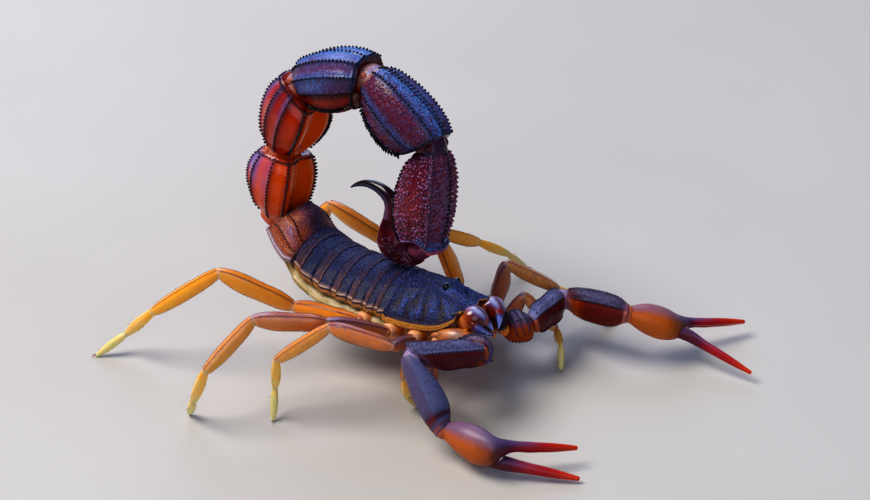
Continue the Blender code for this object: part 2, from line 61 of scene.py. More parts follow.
# ---- trunk ---------------------------------------------------------------------------------
STATION_Y = (-12.4, -11.5, -9.2, -6.0, -3.0, 0.0, 5.0, 11.0, 14.5, 18.0, 21.0)
HALF_WIDTH = (3.9, 4.3, 5.1, 6.0, 6.6, 6.9, 7.1, 7.0, 6.6, 5.5, 4.2)
EDGE_HEIGHT = (12.2, 11.5, 9.6, 8.8, 8.7, 8.9, 9.2, 10.0, 11.4, 12.9, 14.4)
CREST_HEIGHT = (12.9, 13.0, 13.3, 13.6, 13.7, 13.5, 13.4, 13.7, 14.7, 17.2, 17.9)
UNDER_HEIGHT = (7.2, 6.6, 6.0, 5.7, 5.7, 5.8, 6.3, 7.3, 8.6, 10.6, 12.6)
ARCH_POWER = 2.2
PLATE_THICKNESS, PLATE_OVERLAP = 1.3, 0.35
CARAPACE_FRONT, CARAPACE_REAR = -12.4, -0.9
FRONT_NOTCH = 0.7
TUBERCLE_Y, TUBERCLE_RISE, TUBERCLE_HALF = -7.2, 0.75, 1.45
TERGITE_LENGTHS = (1.7, 1.8, 2.5, 2.7, 3.2, 3.5, 6.1)
REAR_RAKE = 0.85
REAR_KEELS, KEEL_DRIFT = (0.60, 0.84), 0.03         # last plate's keels by share across, and their drift
CARAPACE_GRANULES, TERGITE_GRANULES = 2600, 240     # on the whole shield; on a mm of a plate's length
GRANULE_SPACING = 0.3                               # along the rows on a back plate
EYE_RADIUS, EYE_SPREAD = 0.52, 1.35
COMB_LENGTH, COMB_SWING, COMB_TEETH = 5.6, math.radians(22.0), 22

# ---- tail ----------------------------------------------------------------------------------
TAIL_ROOT_Y, TAIL_ROOT_HEIGHT = 22.2, 15.0
TAIL_TURN = (88.0, 76.0, 19.0, -31.0, -89.0)
TAIL_LENGTH = (9.5, 10.1, 11.2, 12.4, 13.2)
TAIL_HALF_HEIGHT = (4.05, 4.2, 4.4, 3.95, 3.6)
TAIL_HALF_WIDTH = (4.3, 4.35, 4.3, 4.05, 3.7)
TAIL_RISE = (0.0, 0.0, 0.0, 0.1, 0.25)
TAIL_END_RISE = (0.1, 0.1, 0.1, 0.15, -0.05)
TAIL_SWELL_AT = (0.0, 0.12, 0.3, 0.5, 0.72, 0.9, 1.0)
TAIL_SWELL = (0.57, 0.77, 0.92, 1.0, 0.99, 0.88, 0.74)
LAST_SWELL = (0.54, 0.76, 0.94, 1.0, 0.96, 0.80, 0.62)
TAIL_POWER = 2.7
# keels of one flank: angle from the flank's middle towards the back of the segment (90) or its belly
KEELS = ((48.0, 8.0, -22.0, -55.0), (46.0, 4.0, -17.0, -50.0), (36.0, 5.0, -13.0, -47.0, -80.0),
         (45.0, 2.0, -58.0, -88.0), (50.0, -40.0, -89.0))
GROOVE = (0.42, 0.40, 0.30, 0.16, 0.08)             # depth of the back's groove, share of half height
GROOVE_HALF = (0.42, 0.42, 0.55, 0.45, 0.4)
TAIL_GIRTH = 4.0                                    # mean half width, turns an angle to a distance
RIDGE = 0.17                                        # height and half width of a keel's ridge
RIM_BEADS = 62
TAIL_GRANULES, TAIL_GRANULE_SIZE = (0, 0, 700, 2100, 1500), (0, 0, 0.06, 0.1, 0.19)
TELSON_START = (24.1, 1.0)
TELSON_HEADING_AT = (0.0, 4.8, 9.0, 11.5, 17.9)
TELSON_HEADING = (220.0, 117.0, 90.0, 150.0, 224.0)
VESICLE_LENGTH, VESICLE_HALF, BULB_GRANULES = 7.8, 2.45, 620
VESICLE_SWELL = (0.34, 0.42, 0.52, 0.72, 0.94, 1.0, 0.92, 0.74, 0.54)
TAIL_SEAT, TELSON_SEAT = 69.0, 19.0
STING_BASE_HALF, STING_TIP_HALF = 1.05, 0.27

# ---- limbs ---------------------------------------------------------------------------------
LEG_LENGTHS = {1: (6.0, 5.8, 6.0, 3.3), 2: (7.3, 8.5, 8.2, 5.1), 3: (9.2, 9.5, 9.0, 5.8),
               4: (10.2, 11.2, 11.0, 6.6)}
# half width and half height of each leg segment at shares of its length, for a scale of 1
LEG_SIZES = (
    ((0.0, 0.5, 0.62), (0.12, 0.62, 0.8), (0.4, 0.74, 1.02), (0.85, 0.72, 0.95), (1.0, 0.5, 0.62)),
    ((0.0, 0.5, 0.62), (0.1, 0.7, 0.92), (0.4, 0.82, 1.12), (0.85, 0.76, 0.98), (1.0, 0.5, 0.6)),
    ((0.0, 0.46, 0.55), (0.12, 0.6, 0.76), (0.35, 0.66, 0.88), (0.9, 0.54, 0.66), (1.0, 0.42, 0.5)),
    ((0.0, 0.36, 0.4), (0.15, 0.46, 0.52), (0.9, 0.42, 0.46), (1.0, 0.32, 0.36)),
    ((0.0, 0.32, 0.34), (0.2, 0.44, 0.48), (0.6, 0.46, 0.5), (0.92, 0.33, 0.33), (1.0, 0.24, 0.24)))
LEG_BRISTLES, LEG_EDGES = (4, 5, 8, 8, 10), (62.0, -55.0)
LEG_SCALE = {1: 0.92, 2: 0.98, 3: 1.05, 4: 1.1}
LEG_HIPS = {1: (5.4, -9.2, 7.2), 2: (6.8, -6.2, 7.3), 3: (7.2, -2.4, 7.3), 4: (7.2, 2.0, 7.4)}
LEG_POSE = {
    "right_1": ((206, -27), (112, 65), (69, -72), (350, -81), (330, -50)),
    "right_2": ((192, 26), (109, 10), (133, -32), (65, -78), (203, -67)),
    "right_3": ((148, 24), (130, 7), (160, -33), (98, -67), (59, -59)),
    "right_4": ((97, -3), (125, 29), (125, -33), (101, -46), (135, -35)),
    "left_1": ((2, -39), (317, 50), (272, -36), (224, -6), (213, -56)),
    "left_2": ((2, -21), (250, 68), (313, -33), (312, -38), (313, -41)),
    "left_3": ((24, -19), (138, 74), (349, -32), (328, -35), (341, -48)),
    "left_4": ((54, 9), (97, 20), (79, -51), (41, -8), (49, -26)),
}
PALP_LENGTHS = {"femur": 9.5, "patella": 10.2, "palm": 7.8, "finger": 10.6}
PALP_HIPS = {"right": (-5.8, -15.8, 8.5), "left": (5.9, -16.6, 9.3)}
PALP_POSE = {"right": ((149, 12), (252, -50), (270, -3), (316, -5)),
             "left": ((5, -10), (272, 6), (316, -24), (330, -12))}
LOWER_FINGER = {"right": (296, -9), "left": (270, -14)}
# half width and half height of the arm's segments at shares of their length
ARM_SIZES = {
    "trochanter": ((0.0, 1.0, 1.1), (0.2, 1.6, 1.7), (0.5, 2.0, 2.1), (0.8, 1.9, 2.0), (1.0, 1.2, 1.3)),
    "femur": ((0.0, 1.0, 1.1), (0.12, 1.45, 1.55), (0.45, 1.6, 1.7), (0.85, 1.62, 1.72), (1.0, 1.2, 1.3)),
    "patella": ((0.0, 0.95, 1.05), (0.15, 1.55, 1.5), (0.45, 2.0, 1.88), (0.8, 1.85, 1.75), (1.0, 1.2, 1.25))}
PALM_SIZES = ((1.05, 1.1), (1.95, 2.15), (2.05, 2.45), (1.45, 1.75), (0.78, 0.92), (0.6, 0.7), (0.5, 0.56),
              (0.27, 0.3))
FINGER_STATIONS = (0.0, 0.14, 0.42, 0.72, 1.0)
FINGER_SIZES = ((0.75, 0.8), (0.85, 0.95), (0.66, 0.74), (0.54, 0.6), (0.27, 0.3))

# ---- head, left side: points of a path, and half width and half height there ----------------
JAW_BULB = ((2.1, -10.9, 10.2), (2.15, -11.9, 10.8), (2.2, -12.7, 11.25), (1.95, -13.4, 11.15),
            (1.45, -14.0, 10.65), (1.0, -14.45, 10.05), (0.6, -14.75, 9.5))
JAW_BULB_SIZES = ((1.5, 1.25), (1.85, 1.55), (1.74, 1.62), (1.3, 1.22), (0.74, 0.74), (0.42, 0.42),
                  (0.1, 0.1))
JAW_BLADE = ((2.9, -12.7, 10.9), (3.15, -13.5, 10.6), (2.6, -14.3, 9.9), (1.7, -14.75, 9.35),
             (0.55, -14.9, 9.2))
JAW_BLADE_SIZES = ((0.8, 0.85), (0.72, 0.8), (0.58, 0.66), (0.4, 0.46), (0.1, 0.1))
# the two lobes that run forward from the first legs to the mouth, and the pincer base
HEAD_LOBES = (
    (((4.6, -9.4, 8.2), (4.3, -11.4, 8.6), (3.7, -13.1, 8.6), (2.7, -14.6, 8.6)),
     ((1.0, 1.1), (1.25, 1.3), (1.05, 1.1), (0.6, 0.85))),
    (((2.2, -8.6, 6.9), (2.2, -11.0, 7.5), (1.6, -12.8, 8.0), (0.9, -14.0, 8.3)),
     ((0.9, 0.9), (1.1, 1.0), (0.9, 0.8), (0.4, 0.4))),
    (((4.8, -8.2, 8.2), (4.9, -9.8, 8.6), (4.4, -11.3, 9.2), (3.6, -12.5, 9.6)),
     ((0.5, 0.5), (0.62, 0.55), (0.6, 0.55), (0.4, 0.4))))

# ---- stage, in metres, watts and degrees; the camera's place and lens in mm ------------------
FLOOR_HALF, TARGET_HEIGHT = 1.6, 0.012
SKY_COLOUR, SKY_STRENGTH = "C9D6F2", 0.15
LAMPS = (("key", (-0.2, 0.3, 0.6), 0.452, 4.3, "FFFAF4"), ("fill", (-0.5, -0.45, 0.35), 0.565, 1.2, "DCE6FF"),
         ("rim", (0.4, 0.35, 0.35), 0.452, 1.6, "BFD2FF"))
CAMERA_TURN, CAMERA_LIFT, CAMERA_ROLL = -55.0, 32.0, -1.0
CAMERA_AWAY, CAMERA_ASIDE, CAMERA_ABOVE = 331.0, 3.8, 13.95
LENS, SENSOR = 100.0, 36.0

DICE = np.random.default_rng(11)


# ---- small sums ----------------------------------------------------------------------------
def linear(hexa):
    """Linear colour of an sRGB hex string."""
    parts = [int(hexa[i:i + 2], 16) / 255.0 for i in (0, 2, 4)]
    return [c / 12.92 if c <= 0.04045 else ((c + 0.055) / 1.055) ** 2.4 for c in parts] + [1.0]


def unit(vector):
    """Vectors divided by their own length."""
    vector = np.asarray(vector, float)
    return vector / np.maximum(np.linalg.norm(vector, axis=-1, keepdims=True), 1e-9)


def heading(turn, lift):
    """Direction that turns from +X towards +Y and lifts above the floor, both in degrees."""
    turn, lift = math.radians(turn), math.radians(lift)
    return np.array([math.cos(turn) * math.cos(lift), math.sin(turn) * math.cos(lift), math.sin(lift)])


def stand(points):
    """Trunk points turned about the pivot line so that the animal leans to its left."""
    points = np.asarray(points, float)
    across, rise = points[..., 0], points[..., 2] - PIVOT_HEIGHT
    return np.stack([across * math.cos(LEAN) + rise * math.sin(LEAN), points[..., 1],
                     PIVOT_HEIGHT - across * math.sin(LEAN) + rise * math.cos(LEAN)], axis=-1)


def smooth(at, stations, values):
    """Cubic curve through the stations whose slope at each is that of its neighbours."""
    stations, values = np.asarray(stations, float), np.asarray(values, float)
    slopes = np.gradient(values, stations)
    at = np.clip(at, stations[0], stations[-1])
    i = np.clip(np.searchsorted(stations, at, side="right") - 1, 0, len(stations) - 2)
    span = stations[i + 1] - stations[i]
    t = (at - stations[i]) / span
    return ((2 * t ** 3 - 3 * t ** 2 + 1) * values[i] + (t ** 3 - 2 * t ** 2 + t) * span * slopes[i]
            + (3 * t ** 2 - 2 * t ** 3) * values[i + 1] + (t ** 3 - t ** 2) * span * slopes[i + 1])


def ramp(value, low, high):
    """0 below low, 1 above high, with an S between."""
    t = np.clip((value - low) / (high - low), 0.0, 1.0)
    return t * t * (3.0 - 2.0 * t)


def hump(value, centre, half):
    """Bell that falls to about a third at half from its centre."""
    return np.exp(-((value - centre) / half) ** 2)


def path_at(at, stations, points):
    """Place on the smooth path through points, one of them at each station."""
    return np.stack([smooth(at, stations, column) for column in np.transpose(points)], axis=-1)


def squared(angle, power):
    """Across and up on a unit section between a circle (power 2) and a square."""
    c, s = np.cos(angle), np.sin(angle)
    return np.sign(c) * np.abs(c) ** (2.0 / power), np.sign(s) * np.abs(s) ** (2.0 / power)


def bend_plane(before, after):
    """Normal of the plane that halves the bend between two directions."""
    return unit(unit(before) + unit(after))


def moved(place, *steps):
    """A place shifted by each (amount, direction) in turn."""
    for amount, way in steps:
        place = place + np.asarray(amount)[..., None] * way
    return place


def net(rows, columns):
    """Grids of two parameters: the first changes down the rows, the second along them."""
    return np.meshgrid(rows, columns, indexing="ij")


def turns(count):
    """Angles spaced evenly once round."""
    return np.linspace(0.0, 2.0 * math.pi, count, endpoint=False)


def past_ends(at):
    """Where along a piece, how far past its ends (0 to 1), and the share of girth left there."""
    over = np.clip(np.maximum(-at, at - 1.0) / CLOSING, 0.0, 1.0)
    return np.clip(at, 0.0, 1.0), over, np.sqrt(np.clip(1.0 - over ** 2, 0.0004, 1.0))


def held(**marks):
    """Marks kept between 0 and 1."""
    return {name: np.clip(value, 0.0, 1.0) for name, value in marks.items()}


# ---- forms: points, quads, triangles and marks for the materials ------------------------------
def closed(points, quads, tris, marks):
    """A form whose faces all look outwards: they are turned round where its volume is negative."""
    corners = np.concatenate([quads[:, :3], quads[:, [0, 2, 3]], tris])
    a, b, c = points[corners[:, 0]], points[corners[:, 1]], points[corners[:, 2]]
    if np.einsum("ij,ij->", a, np.cross(b, c)) < 0.0:
        quads, tris = quads[:, ::-1], tris[:, ::-1]
    return {"points": points, "quads": quads, "tris": tris, "marks": marks}


def ring_faces(rows, around):
    """Quads between neighbouring rings, and a fan at each end to the two points that follow them."""
    r, k = net(np.arange(rows - 1), np.arange(around))
    n = (k + 1) % around
    quads = np.stack([r * around + k, r * around + n, (r + 1) * around + n, (r + 1) * around + k], axis=-1)
    k = np.arange(around)
    n, last, head = (k + 1) % around, (rows - 1) * around, rows * around
    fans = np.concatenate([np.stack([n, k, np.full(around, head)], 1),
                           np.stack([last + k, last + n, np.full(around, head + 1)], 1)])
    return quads.reshape(-1, 4), fans


def tube(grid, marks):
    """A closed form over rings of points, each end ring closed by a fan to its middle."""
    points = np.concatenate([grid.reshape(-1, 3), grid[:1].mean(axis=1), grid[-1:].mean(axis=1)])
    flat = {}
    for name, value in marks.items():
        value = np.broadcast_to(value, grid.shape[:2])
        flat[name] = np.concatenate([value.ravel(), [value[0].mean(), value[-1].mean()]])
    return closed(points, *ring_faces(*grid.shape[:2]), flat)


def plate(top, under, marks, beneath=None):
    """A closed shell between an upper and a lower grid of points, joined along their four edges.

    beneath gives the lower grid marks of its own in place of those above it.
    """
    rows, cols = top.shape[:2]
    count = rows * cols
    points = np.concatenate([top.reshape(-1, 3), under.reshape(-1, 3)])
    r, k = net(np.arange(rows - 1), np.arange(cols - 1))
    face = np.stack([r * cols + k, r * cols + k + 1, (r + 1) * cols + k + 1, (r + 1) * cols + k], -1)
    face = face.reshape(-1, 4)
    front, right = np.arange(cols), np.arange(1, rows) * cols + cols - 1
    rear, left = (rows - 1) * cols + np.arange(cols - 2, -1, -1), np.arange(rows - 2, 0, -1) * cols
    edge = np.concatenate([front, right, rear, left])
    follow = np.roll(edge, -1)
    rim = np.stack([follow, edge, edge + count, follow + count], axis=-1)
    flat = {}
    for name, value in marks.items():
        value = np.broadcast_to(value, (rows, cols)).ravel()
        lower = value if beneath is None else np.full(count, beneath.get(name, 0.0))
        flat[name] = np.concatenate([value, lower])
    quads = np.concatenate([face, face[:, ::-1] + count, rim])
    return closed(points, quads, np.zeros((0, 3), int), flat)


def studs(places, outs, radius, height, marks, sides=6, lean=0.0):
    """Small closed domes or teeth: rings that narrow from radius to a tip at height along outs.

    lean moves the tip sideways in proportion to the square of the share of height.
    """
    outs, count = unit(outs), len(outs)
    radius, height = (np.broadcast_to(size, count)[:, None, None] for size in (radius, height))
    first = unit(np.cross(outs, np.where(np.abs(outs[:, :1]) > 0.8, [[0.0, 1.0, 0.0]], [[1.0, 0.0, 0.0]])))
    second = np.cross(outs, first)
    turn = (np.arange(sides) * 2.0 * math.pi / sides)[None, :, None]
    circle = np.cos(turn) * first[:, None] + np.sin(turn) * second[:, None]
    places, outs = places[:, None], outs[:, None]
    lean = np.broadcast_to(lean, (count, 3))[:, None]
    rings = [places + circle * radius * wide + outs * height * share + lean * max(share, 0.0) ** 2
             for share, wide in STUD_RINGS]
    points = np.concatenate(rings + [places - outs * height * 0.5, places + outs * height + lean], axis=1)
    each = points.shape[1]
    quads, tris = ring_faces(len(STUD_RINGS), sides)
    shift = (np.arange(count) * each)[:, None, None]
    flat = {name: np.repeat(np.broadcast_to(value, count), each) for name, value in marks.items()}
    return {"points": points.reshape(-1, 3), "quads": (quads + shift).reshape(-1, 4),
            "tris": (tris + shift).reshape(-1, 3), "marks": flat}


def merge(forms):
    """Several forms as one, with a mark that a form lacks taken as 0."""
    starts = np.cumsum([0] + [len(f["points"]) for f in forms])
    names = sorted(set(name for f in forms for name in f["marks"]))
    return {"points": np.concatenate([f["points"] for f in forms]),
            "quads": np.concatenate([f["quads"] + s for f, s in zip(forms, starts)]),
            "tris": np.concatenate([f["tris"] + s for f, s in zip(forms, starts)]),
            "marks": {n: np.concatenate([f["marks"].get(n, np.zeros(len(f["points"]))) for f in forms])
                      for n in names}}


def eye_height():
    """Height of the eye hill's flanks where the two eyes sit."""
    return trunk_arch(TUBERCLE_Y, EYE_SPREAD) + TUBERCLE_RISE * math.exp(-(EYE_SPREAD / TUBERCLE_HALF) ** 4)


def eye_middle():
    """Shift from the animal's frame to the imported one, from the boxes of the eyes and carapace."""
    centres = [sum(corner.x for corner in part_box(eye)) / 2.0 for eye in ("eye_left", "eye_right")]
    return np.array([sum(centres) / 2.0 / MM - (eye_height() - PIVOT_HEIGHT) * math.sin(LEAN),
                     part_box("carapace")[0].y / MM - CARAPACE_FRONT, 0.0])


def build(name, forms, skin, nodes):
    """One finished piece from forms: it rides the body and stands for its solids."""
    whole = merge(forms)
    points = (whole["points"] + SHIFT) * MM
    points[:, 2] = np.maximum(points[:, 2], 0.0)
    mesh = bpy.data.meshes.new(name)
    quads, tris = whole["quads"], whole["tris"]
    mesh.vertices.add(len(points))
    mesh.vertices.foreach_set("co", points.ravel())
    mesh.loops.add(quads.size + tris.size)
    mesh.loops.foreach_set("vertex_index", np.concatenate([quads.ravel(), tris.ravel()]).astype(np.int32))
    mesh.polygons.add(len(quads) + len(tris))
    starts = np.concatenate([np.arange(len(quads)) * 4, quads.size + np.arange(len(tris)) * 3])
    mesh.polygons.foreach_set("loop_start", starts.astype(np.int32))
    mesh.update(calc_edges=True)
    mesh.validate()
    for mark, value in whole["marks"].items():
        layer = mesh.attributes.new(mark, "FLOAT", "POINT")
        layer.data.foreach_set("value", value.astype(np.float32))
    mesh.materials.append(skin)
    mesh.shade_smooth()
    mesh.set_sharp_from_angle(angle=SHARP_ANGLE)
    piece = bpy.data.objects.new(name, mesh)
    bpy.context.scene.collection.objects.link(piece)
    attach(piece, "root")
    if nodes:
        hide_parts(*nodes)


def surface_normals(skin, at, around):
    """Points of a surface of two parameters, the directions that look out of it, and those along it."""
    along = skin(at + STEP_ALONG, around) - skin(at - STEP_ALONG, around)
    across = skin(at, around + STEP_AROUND) - skin(at, around - STEP_AROUND)
    return skin(at, around), unit(np.cross(across, along)), unit(along)


def strew(skin, at, around, radius, height, marks, sides=5, upward=False, lean=0.0):
    """Granules or teeth standing on a skin, leaning along it; upward turns a plate's outwards."""
    here, out, along = surface_normals(skin, at, around)
    if upward:
        out = np.where(out[:, 2:] < 0.0, -out, out)
    return studs(here, out, radius, height, marks, sides, along * np.reshape(lean, (-1, 1)))


# ---- materials -----------------------------------------------------------------------------
CHITIN_IOR = 1.54


def add(tree, kind, inputs=None, out=0, stops=(), **settings):
    """Adds one node: settings go to its properties, inputs to its sockets as values or links, and the
    colours of a band to its stops. Returns the output that is asked for."""
    made = tree.nodes.new(kind)
    for key, value in settings.items():
        setattr(made, key, value)
    for key, value in (inputs or {}).items():
        if isinstance(value, bpy.types.NodeSocket):
            tree.links.new(value, made.inputs[key])
        else:
            made.inputs[key].default_value = value
    if stops:
        band = made.color_ramp.elements
        while len(band) < len(stops):
            band.new(0.5)
        for element, (place, hexa) in zip(band, stops):
            element.position = place
            element.color = linear(hexa)
    return made.outputs[out]


def cuticle(name, tones, ridge="0B0A12", bloom="5F66B4", pale="D9C48A", rough=0.3, coat=0.5, grain=0.3,
            grain_depth=0.03, mottle=0.25, mottle_size=1.6, grit=0.55, glow=0.0, shine=0.3):
    """Hard chitin skin: a colour band picked by the mark tone and mottled, then a painted blue-violet sky
    sheen, pale and ridge laid over it where those marks are, and raised in grains of the given size in mm.
    grit says how much of the painted sheen stays on the grains' tops as painted highlights: none of it
    shows between them at 1.3, all at 0."""
    made = bpy.data.materials.new(name)
    made.use_nodes = True
    tree = made.node_tree
    shader = tree.nodes["Principled BSDF"]
    place = add(tree, "ShaderNodeTexCoord", out="Object")
    mark = {key: add(tree, "ShaderNodeAttribute", out="Fac", attribute_name=key)
            for key in ("tone", "bloom", "pale", "ridge")}
    cloud = add(tree, "ShaderNodeTexNoise", {"Vector": place, "Scale": 1.0 / (mottle_size * MM),
                                             "Detail": 4.0, "Roughness": 0.6}, "Fac")
    shift = add(tree, "ShaderNodeMath", {0: cloud, 1: -0.5}, operation="ADD")
    tone = add(tree, "ShaderNodeMath", {0: shift, 1: mottle, 2: mark["tone"]}, operation="MULTIPLY_ADD",
               use_clamp=True)
    colour = add(tree, "ShaderNodeValToRGB", {"Fac": tone}, stops=tones)
    fine = add(tree, "ShaderNodeTexVoronoi", {"Vector": place, "Scale": 1.0 / (grain * MM)}, feature="F1")
    # 1 on a grain's top and 0 in the valleys between, which keep the ground colour free of the painted sheen
    bead = add(tree, "ShaderNodeMapRange", {"Value": fine, "From Min": 0.15, "From Max": 0.6, "To Min": 1.0,
                                            "To Max": 0.0})
    lift = add(tree, "ShaderNodeMath", {0: bead, 1: grit, 2: 1.0 - 0.75 * grit}, operation="MULTIPLY_ADD")
    sheen_on_grains = add(tree, "ShaderNodeMath", {0: mark["bloom"], 1: lift}, operation="MULTIPLY", use_clamp=True)
    for amount, hexa in ((sheen_on_grains, bloom), (mark["pale"], pale), (mark["ridge"], ridge)):
        colour = add(tree, "ShaderNodeMix", {0: amount, 6: colour, 7: linear(hexa)}, 2, data_type="RGBA")
    gloss = add(tree, "ShaderNodeMapRange", {"Value": cloud, "From Min": 0.3, "From Max": 0.7,
                                             "To Min": rough - 0.07, "To Max": rough + 0.09})
    rise = add(tree, "ShaderNodeBump", {"Strength": 1.0, "Distance": grain_depth * MM, "Height": bead})
    wave = add(tree, "ShaderNodeBump", {"Strength": 0.35, "Distance": 0.05 * MM, "Height": cloud,
                                        "Normal": rise})
    for key, socket in (("Base Color", colour), ("Roughness", gloss), ("Normal", wave)):
        tree.links.new(socket, shader.inputs[key])
    shader.inputs["Coat Weight"].default_value = coat
    shader.inputs["Coat Roughness"].default_value = 0.12
    shader.inputs["Specular IOR Level"].default_value = shine
    shader.inputs["IOR"].default_value = CHITIN_IOR
    if glow:
        shader.inputs["Subsurface Weight"].default_value = glow
        shader.inputs["Subsurface Radius"].default_value = (1.0, 0.45, 0.18)
        shader.inputs["Subsurface Scale"].default_value = 0.7 * MM
    return made


# Dark slate chitin of the back: dull, finely granular, brown between the grains, whose tops carry a painted
# blue sky sheen.
SLATE = cuticle(
    "slate_back_chitin", ((0.0, "191A2E"), (0.45, "2A2230"), (0.7, "56342E"), (1.0, "8A4A1C")),
    bloom="546CBE", pale="D08E3A", rough=0.46, coat=0.05, grain_depth=0.08, mottle=0.28, mottle_size=1.5,
    grit=1.1, shine=0.14)
# Last back plate: browner than the rest, burnt orange on its flanks, with a painted lavender sheen on its
# granules.
REAR = cuticle(
    "brown_rear_chitin", ((0.0, "1A1830"), (0.4, "38202A"), (0.7, "6E301A"), (1.0, "A8561C")),
    bloom="8C7CB4", pale="C0A088", rough=0.4, coat=0.12, grain_depth=0.08, mottle=0.3, grit=1.0, shine=0.2)
# Rounded rim of the last back plate: paler and more violet than the plate, smooth and satin; part of the
# violet is a painted sheen on the roll's upper side.
RIM = cuticle(
    "violet_rim_chitin", ((0.0, "846460"), (1.0, "5C4046")),
    bloom="8C7CA4", pale="C6A880", rough=0.35, coat=0.25, grain_depth=0.01, mottle=0.4, grit=0.4)
# Red-orange tail chitin: lacquered and slightly see-through, with black keel beads and a painted violet sky
# sheen.
TAIL_RED = cuticle(
    "orange_tail_chitin", ((0.0, "E05A00"), (0.4, "B02E00"), (0.75, "6A1204"), (1.0, "300606")),
    bloom="7E7ABC", pale="D8B79C", rough=0.2, coat=0.35, grain=0.5, grain_depth=0.012, mottle=0.3, grit=0.2,
    glow=0.1, shine=0.2)
# Maroon tail chitin: glossy, rough with granules whose tops carry a painted blue-violet highlight.
TAIL_DARK = cuticle(
    "maroon_tail_chitin", ((0.0, "A82E04"), (0.4, "6A0E04"), (0.75, "46080C"), (1.0, "220812")),
    bloom="5A92E0", pale="C8A89C", rough=0.24, coat=0.22, grain=0.4, grain_depth=0.035, mottle=0.35,
    grit=0.6, shine=0.16)
# Skin of the last segment and the bulb: dark wine red, set with bead-like granules whose tops carry a painted
# violet highlight; its blue pale is a painted highlight on the end band's beads and in the joint before the
# segment.
TAIL_LAST = cuticle(
    "granular_wine_chitin", ((0.0, "C03606"), (0.4, "7A0E0A"), (0.75, "3C060E"), (1.0, "1A0510")),
    bloom="AC8CC0", pale="6C8CD4", rough=0.2, coat=0.3, grain=0.45, grain_depth=0.01, mottle=0.3, grit=0.2,
    shine=0.15)
# Sting: near-black horn, smooth and polished, redder towards its root, with a soft painted blue highlight.
STING = cuticle(
    "black_horn_sting", ((0.0, "140A12"), (0.5, "280A16"), (1.0, "561018")),
    bloom="4A4C86", rough=0.26, coat=0.45, grain=0.6, grain_depth=0.004, mottle=0.15, grit=0.0)
# Amber leg chitin: translucent, yellow at the toes, with purplish-brown edges and a painted violet sky sheen
# on upper faces.
AMBER = cuticle(
    "amber_leg_chitin",
    ((0.0, "E2D690"), (0.2, "FFB83C"), (0.45, "F49A28"), (0.72, "CC7418"), (1.0, "864820")),
    ridge="3E2430", bloom="866A88", pale="D9CFC6", rough=0.33, coat=0.35, grain=0.45, grain_depth=0.012,
    mottle=0.3, glow=0.3)
# Soft flank skin: pale yellow-green, folded and satin; its ridge colour marks the breathing slits and plate
# edges and, as painted shade, the creases.
MEMBRANE = cuticle(
    "flank_membrane", ((0.0, "B4A068"), (0.5, "947440"), (1.0, "7A401C")),
    ridge="5B4326", bloom="B9B3C4", pale="CFC08A", rough=0.45, coat=0.2, grain=0.5, grain_depth=0.02,
    mottle=0.5, glow=0.25)
# Pincer arm chitin: slate on top under a painted blue sky sheen, and dark wine red on the faces.
ARM = cuticle(
    "slate_arm_chitin", ((0.0, "B8601C"), (0.3, "7E260C"), (0.6, "4A1012"), (1.0, "241A2E")),
    bloom="767CA8", pale="A696BC", rough=0.38, coat=0.06, grain=0.28, mottle=0.35, grit=0.3, shine=0.14)
# Pincer hand chitin: smooth orange hand, a painted violet sky sheen on its crest, crimson fingers that turn
# orange at the tips.
HAND = cuticle(
    "smooth_hand_chitin",
    ((0.0, "CC3A10"), (0.25, "A4161C"), (0.5, "5C1030"), (0.75, "662C14"), (1.0, "C0620E")),
    bloom="5A5A88", pale="E6DCD8", rough=0.42, coat=0.08, grain=0.6, grain_depth=0.004, mottle=0.16,
    grit=0.0, glow=0.05)
# Jaw chitin: the glossiest of the head, orange-brown, its tops with a painted lavender-blue sheen and pale
# painted highlights.
JAW = cuticle(
    "glossy_jaw_chitin", ((0.0, "C87434"), (0.2, "98461A"), (0.5, "641C10"), (1.0, "0C0A18")),
    ridge="B41A0A", bloom="6C7CD0", pale="C6CEF6", rough=0.16, coat=0.7, grain=0.7, grain_depth=0.003,
    grit=0.0, glow=0.06)
# Eye lens: black and wet, with a painted blue sheen on the ring round each eye.
EYE = cuticle(
    "black_eye_lens", ((0.0, "030305"), (1.0, "0A0A10")),
    bloom="7FA6C8", pale="C9A06A", rough=0.06, coat=1.0, grain=0.5, grain_depth=0.001, mottle=0.1)


# ---- trunk shape ---------------------------------------------------------------------------
def trunk(y, values):
    """One of the trunk's tables at a place along its length."""
    return smooth(y, STATION_Y, values)


def trunk_arch(y, across):
    """Height of the back: crest less the drop to the edge, by the share across to a power."""
    half, edge, crest = trunk(y, HALF_WIDTH), trunk(y, EDGE_HEIGHT), trunk(y, CREST_HEIGHT)
    return crest - (crest - edge) * np.clip(np.abs(across) / half, 0.0, 1.0) ** ARCH_POWER


SHIFT = eye_middle()
TRUNK_DOWN = stand([0.0, 0.0, 0.0]) - stand([0.0, 0.0, 1.0])
TRUNK_LEFT = stand([1.0, 0.0, 0.0]) - stand([0.0, 0.0, 0.0])


def carapace_y(at):
    """Place along the animal for a share of the carapace's length."""
    return CARAPACE_FRONT + at * (CARAPACE_REAR - CARAPACE_FRONT)


def flank_rays(across, y, share):
    """Ridges that fan out over the flanks: a wave of the bearing from behind the eyes, bent by another."""
    bearing = np.arctan2(y + 5.2, across)
    rays = np.cos(bearing * 15.0 + 0.9 * np.sin(2.3 * across + 1.7 * y) + 0.6) * ramp(share, 0.4, 0.58)
    return rays * (1.0 - ramp(share, 0.86, 0.93)) * (0.75 + 0.25 * np.sin(3.1 * across - 2.0 * y))


